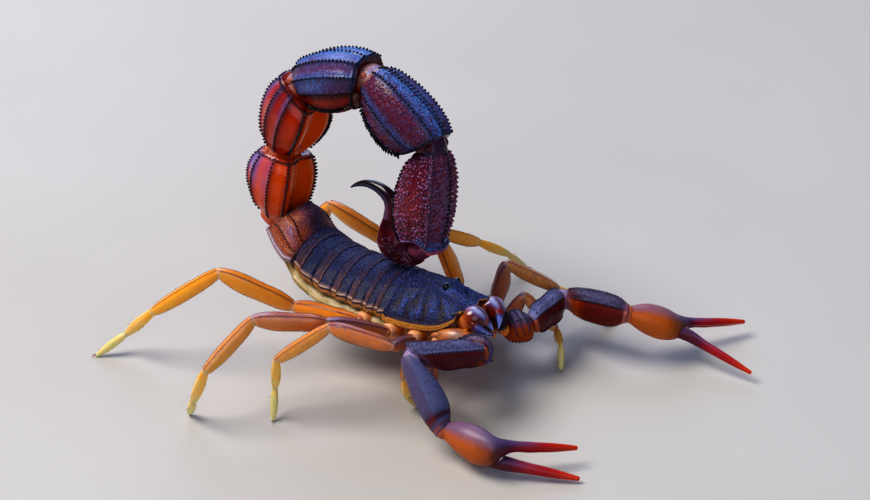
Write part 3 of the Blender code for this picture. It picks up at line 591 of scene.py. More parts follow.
def carapace_top(at, side):
    """Carapace surface: at runs from its front edge to its rear, side from -1 to 1 across.

    The arch of the back, plus the eye hill (two bells), a furrow before and behind it, arced
    ridges behind the eyes, rays on the flanks, a furrow along the rear edge and a raised rim.
    """
    y = carapace_y(at)
    x = side * trunk(y, HALF_WIDTH)
    z = trunk_arch(y, x)
    ax, share = np.abs(x), np.abs(side)
    hill = np.exp(-(ax / TUBERCLE_HALF) ** 4 - ((y - TUBERCLE_Y) / 1.7) ** 2)
    z = z + TUBERCLE_RISE * hill - 0.16 * hump(ax, 0.0, 0.32) * hill
    z = z - 0.2 * hump(ax, 0.0, 0.4) * ramp(y, -6.0, -4.6) * ramp(-y, 1.2, 2.2)
    z = z - 0.14 * hump(ax, 0.0, 0.5) * ramp(-y, 9.0, 10.0)
    behind = y + 6.4
    arc = 1.5 + 0.9 * behind - 0.11 * behind ** 2
    z = z + 0.17 * hump(ax, arc, 0.32) * ramp(y, -6.9, -6.2) * ramp(-y, 1.8, 2.8)
    z = z + 0.13 * hump(ax, 1.75 + 0.1 * (y + 8.0), 0.3) * ramp(-y, 8.0, 8.8) * ramp(y, -11.6, -10.6)
    z = z + 0.07 * flank_rays(ax, y, share) * ramp(y, -10.6, -9.4) * ramp(-y, 1.6, 2.4)
    z = z - 0.16 * hump(y, -1.95 + 0.5 * share ** 3, 0.28) + 0.1 * ramp(y, -1.7, -1.2)
    z = z - 0.12 * hump(share, 0.925, 0.018) + 0.1 * ramp(share, 0.94, 0.962)
    z = z - 0.3 * ramp(share, 0.975, 1.0) ** 2
    front = 1.0 - ramp(at, 0.0, 0.13)
    y = y + front * (FRONT_NOTCH * hump(ax, 0.0, 0.75) + 0.95 * (ax / 3.9) ** 6)
    z = z + 0.05 * hump(at, 0.008, 0.006) - 0.1 * (1.0 - ramp(at, 0.0, 0.008))
    y = y + 0.35 * ramp(at, 0.86, 1.0) * (1.0 - share ** 2) - 0.25 * ramp(at, 0.8, 1.0) * share ** 6
    return stand(np.stack([x, y, z], axis=-1))


def lowered(points, depth):
    """Points pushed towards the belly along the trunk's own upright."""
    return moved(points, (depth, TRUNK_DOWN))


def crosswise(count):
    """Shares from -1 to 1 across a plate, closest together at its two sides."""
    return np.sin(np.linspace(-math.pi / 2, math.pi / 2, count))


def build_carapace():
    """Head shield: a shell that thins to its edges, with granules strewn over it."""
    rows = np.concatenate([np.linspace(0.0, 0.03, 9)[:-1], np.linspace(0.03, 1.0, 140)])
    at, side = net(rows, crosswise(191))
    top, share, y = carapace_top(at, side), np.abs(side), carapace_y(at)
    across = share * trunk(y, HALF_WIDTH)
    rays = flank_rays(across, y, share)
    ahead = 1.0 - ramp(at, 0.06, 0.25)
    rim = np.maximum(ramp(share - 0.008 * ahead, 0.969, 0.976), 1.0 - ramp(at, 0.005, 0.01))
    middle = 1.0 - share ** 4
    thickness = 0.75 * middle + 0.18 * share ** 4 - 0.55 * (1.0 - ramp(at, 0.0, 0.05)) * middle
    flank = ramp(share, 0.35, 0.75) * ramp(-y, 0.8, 3.0)
    brow = hump(across, EYE_SPREAD, 0.8) * hump(y, TUBERCLE_Y - 0.8, 1.3)
    warm = (0.14 + 0.16 * flank - 0.22 * rays * flank + 0.2 * ramp(share, 0.86, 0.92) * flank
            + 0.2 * ramp(y, -2.4, -1.4))
    # painted blue-violet sky sheen over the shield, strongest as a painted highlight round the eyes and along
    # the flank rays
    blue = (0.34 + 0.4 * brow + 0.2 * ramp(-y, 7.0, 9.0) * (1 - flank) + 0.6 * rays * flank
            - 0.2 * ramp(share, 0.8, 0.93))
    marks = {"tone": np.clip(warm, 0.0, 0.8), "bloom": np.clip(blue, 0.0, 1.0) * (1.0 - rim),
             "pale": rim * (0.75 + 0.25 * hump(share, 0.962, 0.012)), "ridge": 0.6 * hump(share, 0.945, 0.01)}
    forms = [plate(top, lowered(top, thickness * (1.0 - 0.5 * ahead)), marks, {"tone": 0.8})]
    # granules whose tops carry the painted blue sheen
    count = CARAPACE_GRANULES
    at, side = DICE.uniform(0.04, 0.985, count), DICE.uniform(-0.92, 0.92, count)
    size, tint = DICE.uniform(0.04, 0.085, count), DICE.random(count)
    forms.append(strew(carapace_top, at, side, size, size * 0.9, upward=True, marks={
        "tone": 0.2 + 0.4 * tint, "bloom": 0.3 + 0.7 * DICE.random(count)}))
    build("carapace_shield", forms, SLATE, ["carapace"])


def build_eyes():
    """Two domes on the flanks of the eye hill, and three small ones at each front corner."""
    for name, side in (("eye_left", 1.0), ("eye_right", -1.0)):
        place = np.array([side * EYE_SPREAD, TUBERCLE_Y, eye_height()])
        out = unit([side * 0.85, -0.1, 0.75])
        # a wider dome under the lens shows as a ring with a painted blue sheen
        forms = [dome(place - out * 0.12, out, EYE_RADIUS * 1.25, 0.3, {"bloom": 0.42}),
                 dome(place, out, EYE_RADIUS, 0.52, {"tone": 0.2})]
        build(name + "_lens", forms, EYE, [name])
    forms = []
    for side in (0.83, -0.83):
        here, out, along = surface_normals(carapace_top, np.array([0.1, 0.135, 0.17]), np.full(3, side))
        out = np.where(out[:, 2:] < 0.0, -out, out)
        for place, normal, way in zip(here, out, along):
            forms.append(blob(place + normal * 0.1, (0.27, 0.26, 0.34), unit(np.cross(way, normal)), normal,
                              {"tone": 0.2, "bloom": 0.08}))
    build("side_eyes", forms, EYE, [])


def dome(place, out, radius, height, marks):
    """A smooth closed button in the trunk's frame: quarter-ellipse profile turned about out."""
    rise = np.linspace(-0.35, 1.0, 12)
    wide = np.sqrt(np.clip(1.0 - np.clip(rise, 0.0, 1.0) ** 2, 0.0004, 1.0)) * radius
    wide[0] = radius * 0.5
    turn = turns(24)[:, None]
    first = unit(np.cross(out, [0.0, 1.0, 0.0]))
    circle = np.cos(turn) * first + np.sin(turn) * np.cross(out, first)
    grid = place + wide[:, None, None] * circle[None] + (rise * height)[:, None, None] * out
    return tube(stand(grid), marks)


def tergite_top(last, begin, stop):
    """Surface of a back plate: at from its front to its rear edge, side from -1 to 1.

    The arch of the back sinks at the front under the plate before, dips in a shallow groove, and
    rises to a rear band that rolls over at its edge; the rear corners are rounded.
    """
    def top(at, side):
        y = begin + at * (stop - begin)
        share, inside = np.abs(side), np.clip(at, 0, 1)
        narrow = 0.07 * (1.0 - ramp(at, 0.0, 0.3)) if last else 0.03 * (1 - at)
        girth = (0.99 if last else 0.955) + 0.02 * np.sin(math.pi * inside) - narrow
        x = side * (trunk(y, HALF_WIDTH) * girth)
        z = trunk_arch(y, x)
        if last:
            z = z - 0.3 * (1.0 - ramp(at, 0.0, 0.1)) + 0.1 * ramp(at, 0.93, 0.97)
            z = z - 0.35 * ramp(at, 0.975, 1.0)
            for keel in REAR_KEELS:
                z = z + (0.2 * hump(share, keel + KEEL_DRIFT * at, 0.022) * ramp(at, 0.25, 0.4)
                         * (1.0 - ramp(at, 0.87, 0.95)))
            z = z + 0.14 * hump(share, 0.72, 0.07) * hump(at, 0.5, 0.24)
            z = z + 0.26 * hump(share, 0.965, 0.028)
            rake = -REAR_RAKE * inside * np.maximum(z - trunk(y, EDGE_HEIGHT), 0.0)
        else:
            band = ramp(at, 0.56, 0.64)
            z = z - 0.34 * (1.0 - ramp(at, 0.0, 0.16)) + 0.13 * band
            z = z + 0.05 * hump(at, 0.63, 0.03) - 0.42 * ramp(at, 0.93, 1.0) ** 2
            z = z + 0.09 * hump(share, 0.0, 0.035) * ramp(at, 0.3, 0.5)
            z = z + 0.1 * ramp(share, 0.93, 0.96) * band - 0.3 * ramp(share, 0.97, 1.0)
            rake = (0.18 * (1.0 - share ** 2) - 0.42 * share ** 7) * ramp(at, 0.3, 1.0)
        return stand(np.stack([x, y + rake, z], axis=-1))
    return top


def tergite_marks(at, share, last):
    """Marks of a back plate: a warmer rear band between pale lines under a painted violet sky sheen that is
    brightest just before the rear edge, or the last plate's keels and its painted violet patch.
    """
    if last:
        keels = sum(hump(share, k + KEEL_DRIFT * at, 0.012) for k in REAR_KEELS) * ramp(at, 0.25, 0.4)
        patch = hump(share, 0.73, 0.08) * hump(at, 0.5, 0.25)
        tone = 0.15 + 0.25 * ramp(at, 0.02, 0.35) + 0.5 * ramp(at, 0.0, 0.16) * ramp(share, 0.0, 0.42)
        return {"ridge": np.clip(keels, 0, 1) * 0.2, **held(
            tone=tone, bloom=0.24 * (1.0 - ramp(share, 0.3, 0.6)) + 0.75 * patch + 0.02)}
    band = ramp(at, 0.5, 0.66)
    line = np.maximum(hump(at, 0.63, 0.02) * (1.0 - ramp(share, 0.93, 0.96)), hump(share, 0.955, 0.012))
    tone = 0.08 + 0.6 * band * (0.65 + 0.35 * share ** 2) + 0.2 * ramp(share, 0.7, 0.95)
    return {"tone": np.minimum(tone, 0.68), **held(
        bloom=0.25 - 0.13 * band + 0.3 * line + 0.2 * hump(at, 0.87, 0.05) - 0.12 * share ** 4,
        pale=0.3 * line * (0.4 + 0.6 * share ** 2) + 0.5 * ramp(share, 0.985, 1.0),
        ridge=0.85 * ramp(at, 0.94, 0.97))}


def rim_skin(top, sign, last):
    """Roll along a back plate's side edge: a circle carried along it and rounded off at both ends."""
    share, girth, sunk = (0.985, 0.46, 0.28) if last else (0.97, 0.15, 0.12)

    def skin(at, turn):
        inside, over, close = past_ends(at)
        half = girth * close * (0.8 + 0.2 * ramp(inside, 0.0, 0.2))
        edge = top(0.1 + 0.88 * inside, np.full(np.shape(at), sign * share)) + TRUNK_DOWN * sunk
        return moved(edge, (np.cos(turn) * half, TRUNK_LEFT), (-np.sin(turn) * half, TRUNK_DOWN),
                     (np.sign(at - 0.5) * over * half * 0.6, -AHEAD))
    return skin


def build_tergites():
    """Seven back plates, each tucked under the one before, and the rolls along their side edges."""
    front, rims = CARAPACE_REAR, []
    for number, length in enumerate(TERGITE_LENGTHS, start=1):
        last = number == len(TERGITE_LENGTHS)
        top = tergite_top(last, front - PLATE_OVERLAP, front + length)
        at, side = net(np.linspace(0.0, 1.0, 70 if last else 48), crosswise(151))
        points, share = top(at, side), np.abs(side)
        thickness = (0.6 * (1.0 - share ** 4) + 0.35 * share ** 4) * (1.0 - 0.5 * ramp(at, 0.9, 1.0))
        forms = [plate(points, lowered(points, thickness), tergite_marks(at, share, last))]
        # rows of granules along the rear band, then fine ones strewn over the plate, their tops with a
        # painted blue-violet sheen
        across = np.arange(-0.93, 0.93, GRANULE_SPACING / float(trunk(front, HALF_WIDTH)) * 0.9)
        for row, size, scatter in ((0.955, 0.1, 0.03),) if last else ((0.9, 0.085, 0.05), (0.68, 0.06, 0.06)):
            forms.append(strew(top, row + DICE.uniform(-scatter, scatter, len(across)), across, size, size,
                               {"tone": 0.5, "ridge": 0.75 if last else 0.25, "bloom": 0.5}, upward=True))
        count = int(TERGITE_GRANULES * length)
        at, across = DICE.uniform(0.3, 0.97, count), DICE.uniform(-0.93, 0.93, count)
        size = DICE.uniform(0.03, 0.07, count)
        forms.append(strew(top, at, across, size, size * 0.9, upward=True, marks={
            "tone": 0.25 + 0.45 * DICE.random(count), "bloom": 0.3 + 0.6 * DICE.random(count)}))

        # more painted violet sheen on the roll's upper side
        def rim_marks(at, turn):
            return {"tone": 0.6 + 0.3 * np.cos(turn), "bloom": (0.5 if last else 0.15) + 0.15 * np.sin(turn),
                    "pale": 0.15 if last else 0.45}
        rims += [loft(rim_skin(top, sign, last), 60 if last else 36, 20, rim_marks) for sign in (-1.0, 1.0)]
        if last:
            at = np.arange(0.16, 0.93, 0.44 / 6.4)
            for keel in REAR_KEELS:
                for sign in (-1.0, 1.0):
                    forms.append(strew(top, at, sign * (keel + KEEL_DRIFT * at), 0.13, 0.16,
                                       {"ridge": 0.8, "bloom": 0.4}, sides=6, upward=True))
        build(f"tergite_{number}_plate", forms, REAR if last else SLATE, [f"tergite_{number}"])
        front += length
    build("back_plate_rims", rims, RIM, [])


# ---- belly and flanks ------------------------------------------------------------------------
def rear_taper(y):
    """0 along the belly, growing to 1 where its rear end runs out under the tail."""
    return ramp(y, 15.5, 21.2)


def belly_skin(begin, stop, inset):
    """Closed skin under the back: at runs from begin to stop along Y, around turns once.

    Upper half: the arch lowered by a plate's thickness; lower half: the belly's curve. On the
    flank lengthwise folds and one bulge for each back plate swell the skin.
    """
    edges = np.cumsum((CARAPACE_REAR,) + TERGITE_LENGTHS)

    def skin(at, around):
        y = begin + np.clip(at, 0.0, 1.0) * (stop - begin)
        close = np.clip(1.0 - np.maximum(-at, at - 1.0) / BELLY_CLOSING, 0.02, 1.0)
        if stop > 20.0:
            close = close * np.sqrt(1.0 - 0.8 * np.clip((y - stop + 3.0) / 3.0, 0.0, 1.0) ** 2)
        c, s = squared(around, 2.2 - 0.2 * rear_taper(y))
        half = (trunk(y, HALF_WIDTH) - inset) * (1.0 - 0.16 * ramp(y, 13.5, 16.5) - 0.3 * rear_taper(y))
        roof = trunk_arch(y, half * np.clip(np.abs(c), 0, 1)) - PLATE_THICKNESS * 0.75
        rim = trunk(y, EDGE_HEIGHT) - 0.75
        floor = trunk(y, UNDER_HEIGHT) + 1.1 * rear_taper(y) ** 2
        middle = rim - 0.9
        above, below = np.maximum(roof, rim) - middle, middle - floor
        z = np.where(s > 0.0, middle + above * np.clip(s, 0, 1), middle + below * s)
        flank = sum(hump(np.degrees(np.angle(np.exp(1j * turn))), -12.0, 26.0)
                    for turn in (around, math.pi - around))
        phase = math.pi * np.interp(y, edges, np.arange(len(edges)))
        swell = 0.45 * np.abs(np.sin(phase)) ** 0.8 - 0.4
        folds = 0.17 * np.cos(np.degrees(np.arcsin(np.clip(s, -1, 1))) / 5.0 + 0.5 * np.sin(phase))
        x = c * (half + flank * (swell + folds)) * close
        return stand(np.stack([x, y, middle + (z - middle) * close], axis=-1))
    return skin


def belly_net(rows, around):
    """Rows along a belly skin, with two more past each end where it closes, by turns round it."""
    past = np.array([0.5, 1.0]) * BELLY_CLOSING
    return net(np.concatenate([-past[::-1], np.linspace(0.0, 1.0, rows), 1.0 + past]), turns(around))


def build_belly():
    """Soft skin of the belly and flanks, with five plates that follow its curve."""
    at, turn = belly_net(150, 144)
    low = np.sin(turn)
    crease = 0.5 + 0.5 * np.cos(np.degrees(turn) / 3.5)
    first, last = -1.6, 21.2
    skin = belly_skin(first, last, 0.12)
    # creases on the lower half are darkened, in tone and in the ridge colour, as painted shade; the skin also
    # darkens towards the underside and the rear end
    tone = 0.35 + 0.4 * crease * (low < 0) + 0.3 * ramp(-low, 0.4, 0.9) + 0.7 * ramp(at, 0.8, 0.9)
    forms = [tube(skin(at, turn), {"tone": tone, "ridge": 0.5 * crease ** 6 * (low < 0.2),
                                   "pale": 0.45 * (1 - crease) * (1 - ramp(at, 0.75, 0.85))})]
    # five belly plates with a breathing slit on each side of the first four
    edges = np.linspace(6.6, 20.9, 6)
    at, side = net(np.linspace(0.0, 1.0, 24), np.linspace(-1.0, 1.0, 71))
    share = np.abs(side)
    for number, (begin, stop) in enumerate(zip(edges[:-1], edges[1:] + 0.25)):
        y = begin + at * (stop - begin) - 0.5 * at * share ** 4
        slit = hump(share, 0.62, 0.09) * hump(at, 0.55 + 0.4 * (share - 0.62), 0.05) * (number < 4)
        grid = lowered(skin((y - first) / (last - first), math.radians(58.0) * side - math.pi / 2),
                       0.12 + 0.14 * ramp(at, 0.2, 0.9) - 0.15 * ramp(at, 0.93, 1.0) - 0.16 * slit)
        forms.append(plate(grid, lowered(grid, np.full(at.shape, -0.5)),
                           held(tone=0.6 + 0.3 * share ** 2, ridge=slit + 0.5 * ramp(at, 0.85, 1.0))))
    build("belly_and_flanks", forms, MEMBRANE, ["sternites"])


def build_pectines():
    """Two combs under the belly: a bar of fused lobes with a row of flat rounded teeth."""
    for name, side in (("pectine_left", 1.0), ("pectine_right", -1.0)):
        def lay(x, y, z):
            across = 0.7 + x * math.cos(COMB_SWING) - y * math.sin(COMB_SWING)
            along = 4.9 + x * math.sin(COMB_SWING) + y * math.cos(COMB_SWING)
            return stand(np.stack([across * side, along, trunk(along, UNDER_HEIGHT) - GAP - z], axis=-1))

        at, turn = net(np.linspace(0.0, 1.0, 60), turns(20))
        close = np.sqrt(np.clip(1.0 - (2 * at - 1) ** 12, 0.001, 1.0))
        lobes = np.abs(np.sin(at * math.pi * 7))
        c, s = squared(turn, 2.6)
        bar = lay(at * COMB_LENGTH, -0.35 + (0.5 - 0.22 * at) * (1.0 + 0.06 * lobes) * close * c,
                  0.28 + 0.24 * close * s)
        forms = [tube(bar, {"tone": 0.35 + 0.2 * lobes})]
        at, turn = net(np.linspace(0.0, 1.0, 9), turns(8))
        c, s = squared(turn, 2.6)
        swell = np.sqrt(np.clip(1.0 - (2 * at - 1) ** 6, 0.002, 1.0))
        for k in range(COMB_TEETH):
            reach = 1.15 - 0.3 * (k / COMB_TEETH)
            tooth = lay(COMB_LENGTH * (k + 0.5) / COMB_TEETH + 0.11 * swell * c, -0.05 + at * reach,
                        0.28 + 0.13 * swell * s)
            forms.append(tube(tooth, {"tone": 0.2, "pale": 0.4 * at}))
        build(name + "_comb", forms, MEMBRANE, [name])


def cut(offset, way, first, last, gap):
    """How far past the start and short of the end ring points stand, by the planes of the two bends."""
    return ((gap / 2.0 - offset @ first) / max(np.dot(way, first), 0.4),
            (gap / 2.0 + offset @ last) / max(np.dot(way, last), 0.4))


def limb_skin(start, end, sizes, side, power, first=None, last=None, relief=None, gap=GAP):
    """Surface of one limb segment: at runs along it, around turns from its side towards its top.

    Half width and height are cubic curves of at; each ring is cut by the planes that halve the
    bends at its two ends, and beyond 0 and 1 it closes to a point in those planes. relief(at,
    around) is added outwards.
    """
    start, end = np.asarray(start, float), np.asarray(end, float)
    way = unit(end - start)
    across = unit(side - np.dot(side, way) * way)
    up = np.cross(way, across)
    length = np.linalg.norm(end - start)
    first = way if first is None else first
    last = way if last is None else last
    stations, half_widths, half_heights = np.array(sizes, float).T

    def skin(at, around):
        inside, over, close = past_ends(at)
        c, s = squared(around, power)
        wide, tall = smooth(inside, stations, half_widths) * c, smooth(inside, stations, half_heights) * s
        if relief is not None:
            grow = 1.0 + relief(inside, around) / (np.sqrt(wide ** 2 + tall ** 2) + 1e-6)
            wide, tall = wide * grow, tall * grow
        offset = (wide * close)[..., None] * across + (tall * close)[..., None] * up
        low, high = cut(offset, way, first, last, gap)
        along = np.clip(low * (1.0 - inside) + (length - high) * inside, -RIM_REACH, length + RIM_REACH)
        return moved(start + offset, (along + over * np.sign(at - 0.5) * 0.18, way))
    return skin


def loft(skin, rows, around, marks):
    """A skin as a closed form, with five rings more past each end; marks(at, around) gives its marks."""
    over = CLOSING * np.sin(np.linspace(0.0, math.pi / 2, 6))[1:]
    at, turn = net(np.concatenate([-over[::-1], np.linspace(0.0, 1.0, rows), 1.0 + over]), turns(around))
    return tube(skin(at, turn), marks(at, turn))


def bead_row(skin, length, angle, marks, spacing=0.5, size=0.2, height=None, low=0.03, high=0.97, grow=0.0,
             lean=0.0, sides=6):
    """Beads or teeth set along a surface at one angle, evenly spaced in mm; lean tips them forward."""
    at = np.arange(low, high, spacing / length)
    scale = 1.0 + grow * at
    tall = (height or size) * scale * (0.85 + 0.3 * DICE.random(len(at)))
    wide = size * (0.9 + 0.2 * DICE.random(len(at)))
    return strew(skin, at, np.full(len(at), angle), wide, tall, marks, sides, lean=lean * scale)


def both_flanks(angles):
    """Each angle of one flank, in degrees, followed by its mirror image on the other."""
    return [turned for angle in angles for turned in (angle, 180.0 - angle)]


def folded(around):
    """Angle from the flank's middle, in degrees: 90 on the back's midline, -90 on the belly's."""
    turned = np.degrees(np.angle(np.exp(1j * (around - math.pi / 2))))
    return 90.0 - np.abs(turned)


# ---- tail ----------------------------------------------------------------------------------
TAIL_UP = np.array([math.sin(LEAN), 0.0, math.cos(LEAN)])
TAIL_SIDE = np.cross(AHEAD, TAIL_UP)


def in_tail_plane(forward, up):
    """A point in the upright plane of the tail, measured from its root."""
    return stand([0.0, TAIL_ROOT_Y, TAIL_ROOT_HEIGHT]) + forward * AHEAD + up * TAIL_UP


def tail_way(turn):
    """Direction in the tail's plane, turned upwards from the head's direction, in degrees."""
    turn = math.radians(turn)
    return math.cos(turn) * AHEAD + math.sin(turn) * TAIL_UP


def tail_line():
    """The six joints of the tail, its five directions, and the planes that halve its bends."""
    ways = [tail_way(turn) for turn in TAIL_TURN]
    joints = [in_tail_plane(0.0, 0.0)]
    for way, length in zip(ways, TAIL_LENGTH):
        joints.append(joints[-1] + way * length)
    planes = [bend_plane(a, b) for a, b in zip(ways[:-1], ways[1:])]
    return joints, ways, [tail_way(TAIL_SEAT)] + planes + [tail_way(TAIL_TURN[-1] + TELSON_SEAT)]


def tail_skin(i, start, end, first, last):
    """Surface of a tail segment: a squarish section cut by the planes of its two bends.

    Its back sinks in a groove, a narrow ridge stands at each keel angle, and the faces between
    neighbouring keels are slightly hollow.
    """
    way = unit(end - start)
    up = np.cross(way, TAIL_SIDE)
    length = np.linalg.norm(end - start)
    keels = np.array(sorted(KEELS[i]))
    corners = np.concatenate([[-90.0 if keels[0] > -85.0 else keels[0] - 4.0], keels])

    def skin(at, around):
        inside, over, _ = past_ends(at)
        c, s = squared(around, TAIL_POWER)
        swell = smooth(inside, TAIL_SWELL_AT, LAST_SWELL if i == 4 else TAIL_SWELL)
        tall, fold = TAIL_HALF_HEIGHT[i] * swell, folded(around)
        groove = GROOVE[i] * hump(c, 0.0, GROOVE_HALF[i]) * ramp(inside, 0.0, 0.12)
        groove = groove * (1.0 - 0.4 * ramp(inside, 0.85, 1.0))
        flare = 0.22 * ramp(inside, 0.88, 0.95) + 0.22 * ramp(inside, 0.96, 1.0)
        flare = flare * ramp(-fold, 10.0, 60.0) * (i == 4)
        wide = TAIL_HALF_WIDTH[i] * swell * (1.0 + flare) * c
        high = tall * (1.0 + flare) * np.where(s > 0.0, s * (1.0 - groove), s)
        ridges = sum(RIDGE * hump(np.radians(fold - keel) * TAIL_GIRTH, 0.0, RIDGE) for keel in keels)
        phase = np.interp(fold, corners, np.arange(len(corners)))
        relief = ridges - 0.16 * np.sin(math.pi * phase) ** 2 * (fold < keels[-1])
        relief = relief * ramp(inside, 0.0, 0.08) * (1.0 - ramp(inside, 0.95, 1.0))
        relief = relief + 0.16 * hump(inside, 0.965, 0.02)
        grow = (1.0 + relief / np.sqrt(wide ** 2 + high ** 2)) * (1.0 - 0.98 * over)
        rise = TAIL_RISE[i] + TAIL_END_RISE[i] * tall * inside ** 3
        offset = (wide * grow)[..., None] * TAIL_SIDE + (high * grow + rise)[..., None] * up
        outer = ramp(-fold, -10.0, 55.0) * (1.0 - over)
        near, far = cut(offset, way, first, last, GAP)
        near = near + outer * (0.75 if i else 0.2)
        far = far + outer * 0.5 if i < 4 else far * (1.0 - 0.8 * outer) - 1.1 * outer
        along = np.clip(near * (1.0 - inside) + (length - far) * inside, -RIM_REACH,
                        length + (RIM_REACH if i < 4 else 2.0))
        # the near end closes in a round shoulder, the far end sinks in like a socket
        return moved(start + offset, (along - over * np.where(at > 0.5, 0.9, 0.3), way))
    return skin


# per segment: tone of the faces, then the painted blue-violet sky sheen by angle as (angle, amount) pairs
# along one flank
TAIL_TONE = (0.12, 0.36, 0.42, 0.44, 0.74)
TAIL_PAINTED_SHEEN = (
    ((-90, 0.8), (-56, 0.9), (-54, 1.0), (-24, 0.8), (-20, 0.8), (-8, 0.2), (7, 0.35), (9, 0.0),
     (90, 0.0)),
    ((-90, 0.6), (-51, 0.7), (-49, 0.8), (-34, 0.1), (-24, 0.1), (-18, 0.5), (-16, 0.5), (-9, 0.05),
     (-2, 0.05), (3, 0.6), (5, 0.0), (90, 0.0)),
    ((-90, 0.9), (-81, 0.9), (-79, 0.95), (-66, 0.7), (-48, 0.5), (-46, 0.35), (-32, 0.3), (-14, 0.7),
     (-12, 0.85), (4, 0.35), (6, 0.0), (90, 0.0)),
    ((-90, 0.95), (-86, 0.9), (-84, 0.9), (-59, 0.6), (-57, 0.45), (-46, 0.15), (-8, 0.1), (1, 0.45),
     (3, 0.5), (14, 0.12), (44, 0.05), (90, 0.0)),
    ((-90, 0.4), (-42, 0.25), (-36, 0.4), (-30, 0.08), (0, 0.05), (50, 0.22), (90, 0.4)),
)


def tail_marks(i):
    """Marks of a tail segment: black ridges, painted shade that darkens the faces beside each keel, a painted
    blue-violet sky sheen by angle, and a pale neck at its near end.
    """
    sheen_at, sheen_by = zip(*TAIL_PAINTED_SHEEN[i])
    front = i < 2

    def marks(at, around):
        fold = folded(around)
        bloom = np.interp(fold, sheen_at, sheen_by)
        # painted shade: the faces darken towards each keel, in tone and in black
        keel, shade = (sum(hump(np.radians(fold - k) * TAIL_GIRTH, 0.0, half) for k in KEELS[i])
                       for half in (0.13, 0.6))
        tone = TAIL_TONE[i] + (0.24 if front else 0.3) * shade
        rim, neck, socket = hump(at, 0.975, 0.03), 1.0 - ramp(at, 0.0, 0.07), ramp(at, 0.985, 1.005)
        if i == 0:
            bloom = bloom * (0.05 + 0.95 * ramp(at + 0.004 * (fold + 20.0), 0.32, 0.72))
        elif i == 1:
            bloom = bloom * (0.15 + 0.85 * ramp(at, 0.3, 0.85))
            tone = tone - 0.2 * ramp(fold, 45, 60) + 0.15 * ramp(at, 0.7, 1.0)
        elif i == 2:
            bloom = bloom * (1.0 - 0.6 * ramp(at, 0.4, 0.8) * (fold > -13))
            tone = tone - 0.2 * ramp(fold, 6.0, 20.0)
        elif i == 4:
            bloom = bloom + 0.3 * hump(at, 0.93, 0.03) * ramp(-fold, -10.0, 30.0)
            tone = tone - 0.3 * hump(at, 0.55, 0.3) * hump(fold, 0.0, 35.0) - 0.15 * ramp(-fold, 38.0, 50.0)
            tone = tone - 0.6 * ramp(at, 0.95, 0.965) * ramp(-fold, 5.0, 35.0)
        # the back's groove on the first two segments is lighter orange, partly its own colour and partly
        # painted light
        if front:
            tone = tone - 0.4 * ramp(fold, 52, 66)
        tone = tone + 0.5 * rim * (i in (2, 3)) * (1.0 - socket) - 0.25 * socket
        black = 0.2 * keel + (0.1 if front else 0.2) * shade + (0.45 if i < 4 else 0.1) * rim
        black = black * (1 - socket) + (0.45 if i < 4 else 0.0) * socket
        return {"ridge": np.clip(black, 0, 1) * (1 - neck), **held(
            tone=tone, bloom=bloom * (1 - neck) * (1 - socket),
            pale=(0.2 if i == 4 else 0.55) * neck * ramp(-fold, -20, 30))}
    return marks


def tail_beads(i, skin):
    """Rows of beads along every keel of a tail segment, and one round its far rim."""
    forms = []
    for turned in both_flanks(KEELS[i]):
        keel = min(turned, 180.0 - turned)
        if keel == max(KEELS[i]):
            row = dict(spacing=0.5 if i else 0.46, size=0.2 + 0.015 * i, height=0.24 + 0.05 * (i % 4),
                       lean=0.08 + 0.04 * (i % 4), grow=0.5, low=0.08, marks={"ridge": 1.0})
        elif i == 4 and keel > -70:
            row = dict(spacing=0.62, size=0.21, height=0.22, lean=0.12, grow=1.0, low=0.06, high=0.95,
                       marks={"ridge": 0.7 if turned < 90 else 0.3, "tone": 0.2, "pale": 0.3})
        else:
            # beads of the other keels carry a painted blue glint
            row = dict(size=0.185, height=0.22, marks={"ridge": 0.92, "bloom": 0.6})
        forms.append(bead_row(skin, TAIL_LENGTH[i], math.radians(turned), **row))
    # the rim's beads carry a painted blue glint too
    here, out, along = surface_normals(skin, np.full(RIM_BEADS, 0.968), turns(RIM_BEADS))
    forms.append(studs(here, unit(out + 0.4 * along), 0.14, 0.18,
                       {"ridge": 0.25 if i == 4 else 0.95, "bloom": 0.8, "tone": 0.8}))
    return forms


def tail_granules(i, skin):
    """Granules on a tail segment's faces: strewn by chance, or on the last along a golden spiral."""
    count, last = TAIL_GRANULES[i], i == 4
    at, turn = DICE.uniform(0.06, 0.95, count), DICE.uniform(0.0, 2.0 * math.pi, count)
    if last:
        order = np.arange(count)
        at = np.clip(0.05 + 0.9 * (order + 0.5) / count + DICE.normal(0.0, 0.01, count), 0.04, 0.96)
        turn = order * GOLDEN_TURN + DICE.normal(0.0, 0.03, count)
    fold = folded(turn)
    keep = (fold < 75.0) & ((at < 0.89) | (fold > -15.0)) if last else fold < KEELS[i][0] - 2.0
    at, turn = at[keep], turn[keep]
    size = TAIL_GRANULE_SIZE[i] * DICE.uniform(0.6, 1.2, len(at))
    # their tops carry a painted violet highlight, strong on a few
    darker, least, most, rarity = (0.48, 0.1, 0.5, 1.7) if last else (0.1, 0.0, 0.75, 2.2)
    return strew(skin, at, turn, size, size * 1.2, sides=6 if last else 5, marks={
        "tone": TAIL_TONE[i] - darker + 0.4 * DICE.random(len(at)),
        "bloom": least + most * DICE.random(len(at)) ** rarity})


def end_band(skin):
    """A band of two rows of beads across the belly side of the last segment's end, each with a painted blue
    highlight of its own strength.
    """
    forms = []
    for row, size, apart in ((0.895, 0.2, 7.0), (0.94, 0.3, 8.6)):
        turn = np.radians(np.arange(-168.0, -10.0, apart))
        at = row + DICE.normal(0.0, 0.004, len(turn))
        shine = DICE.random(len(turn))
        forms.append(strew(skin, at, turn, size * (0.8 + 0.3 * shine), size, sides=6, marks={
            "tone": 0.95, "pale": 0.2 + 0.65 * shine ** 1.5, "ridge": 0.3 * (1.0 - shine)}))
    return forms


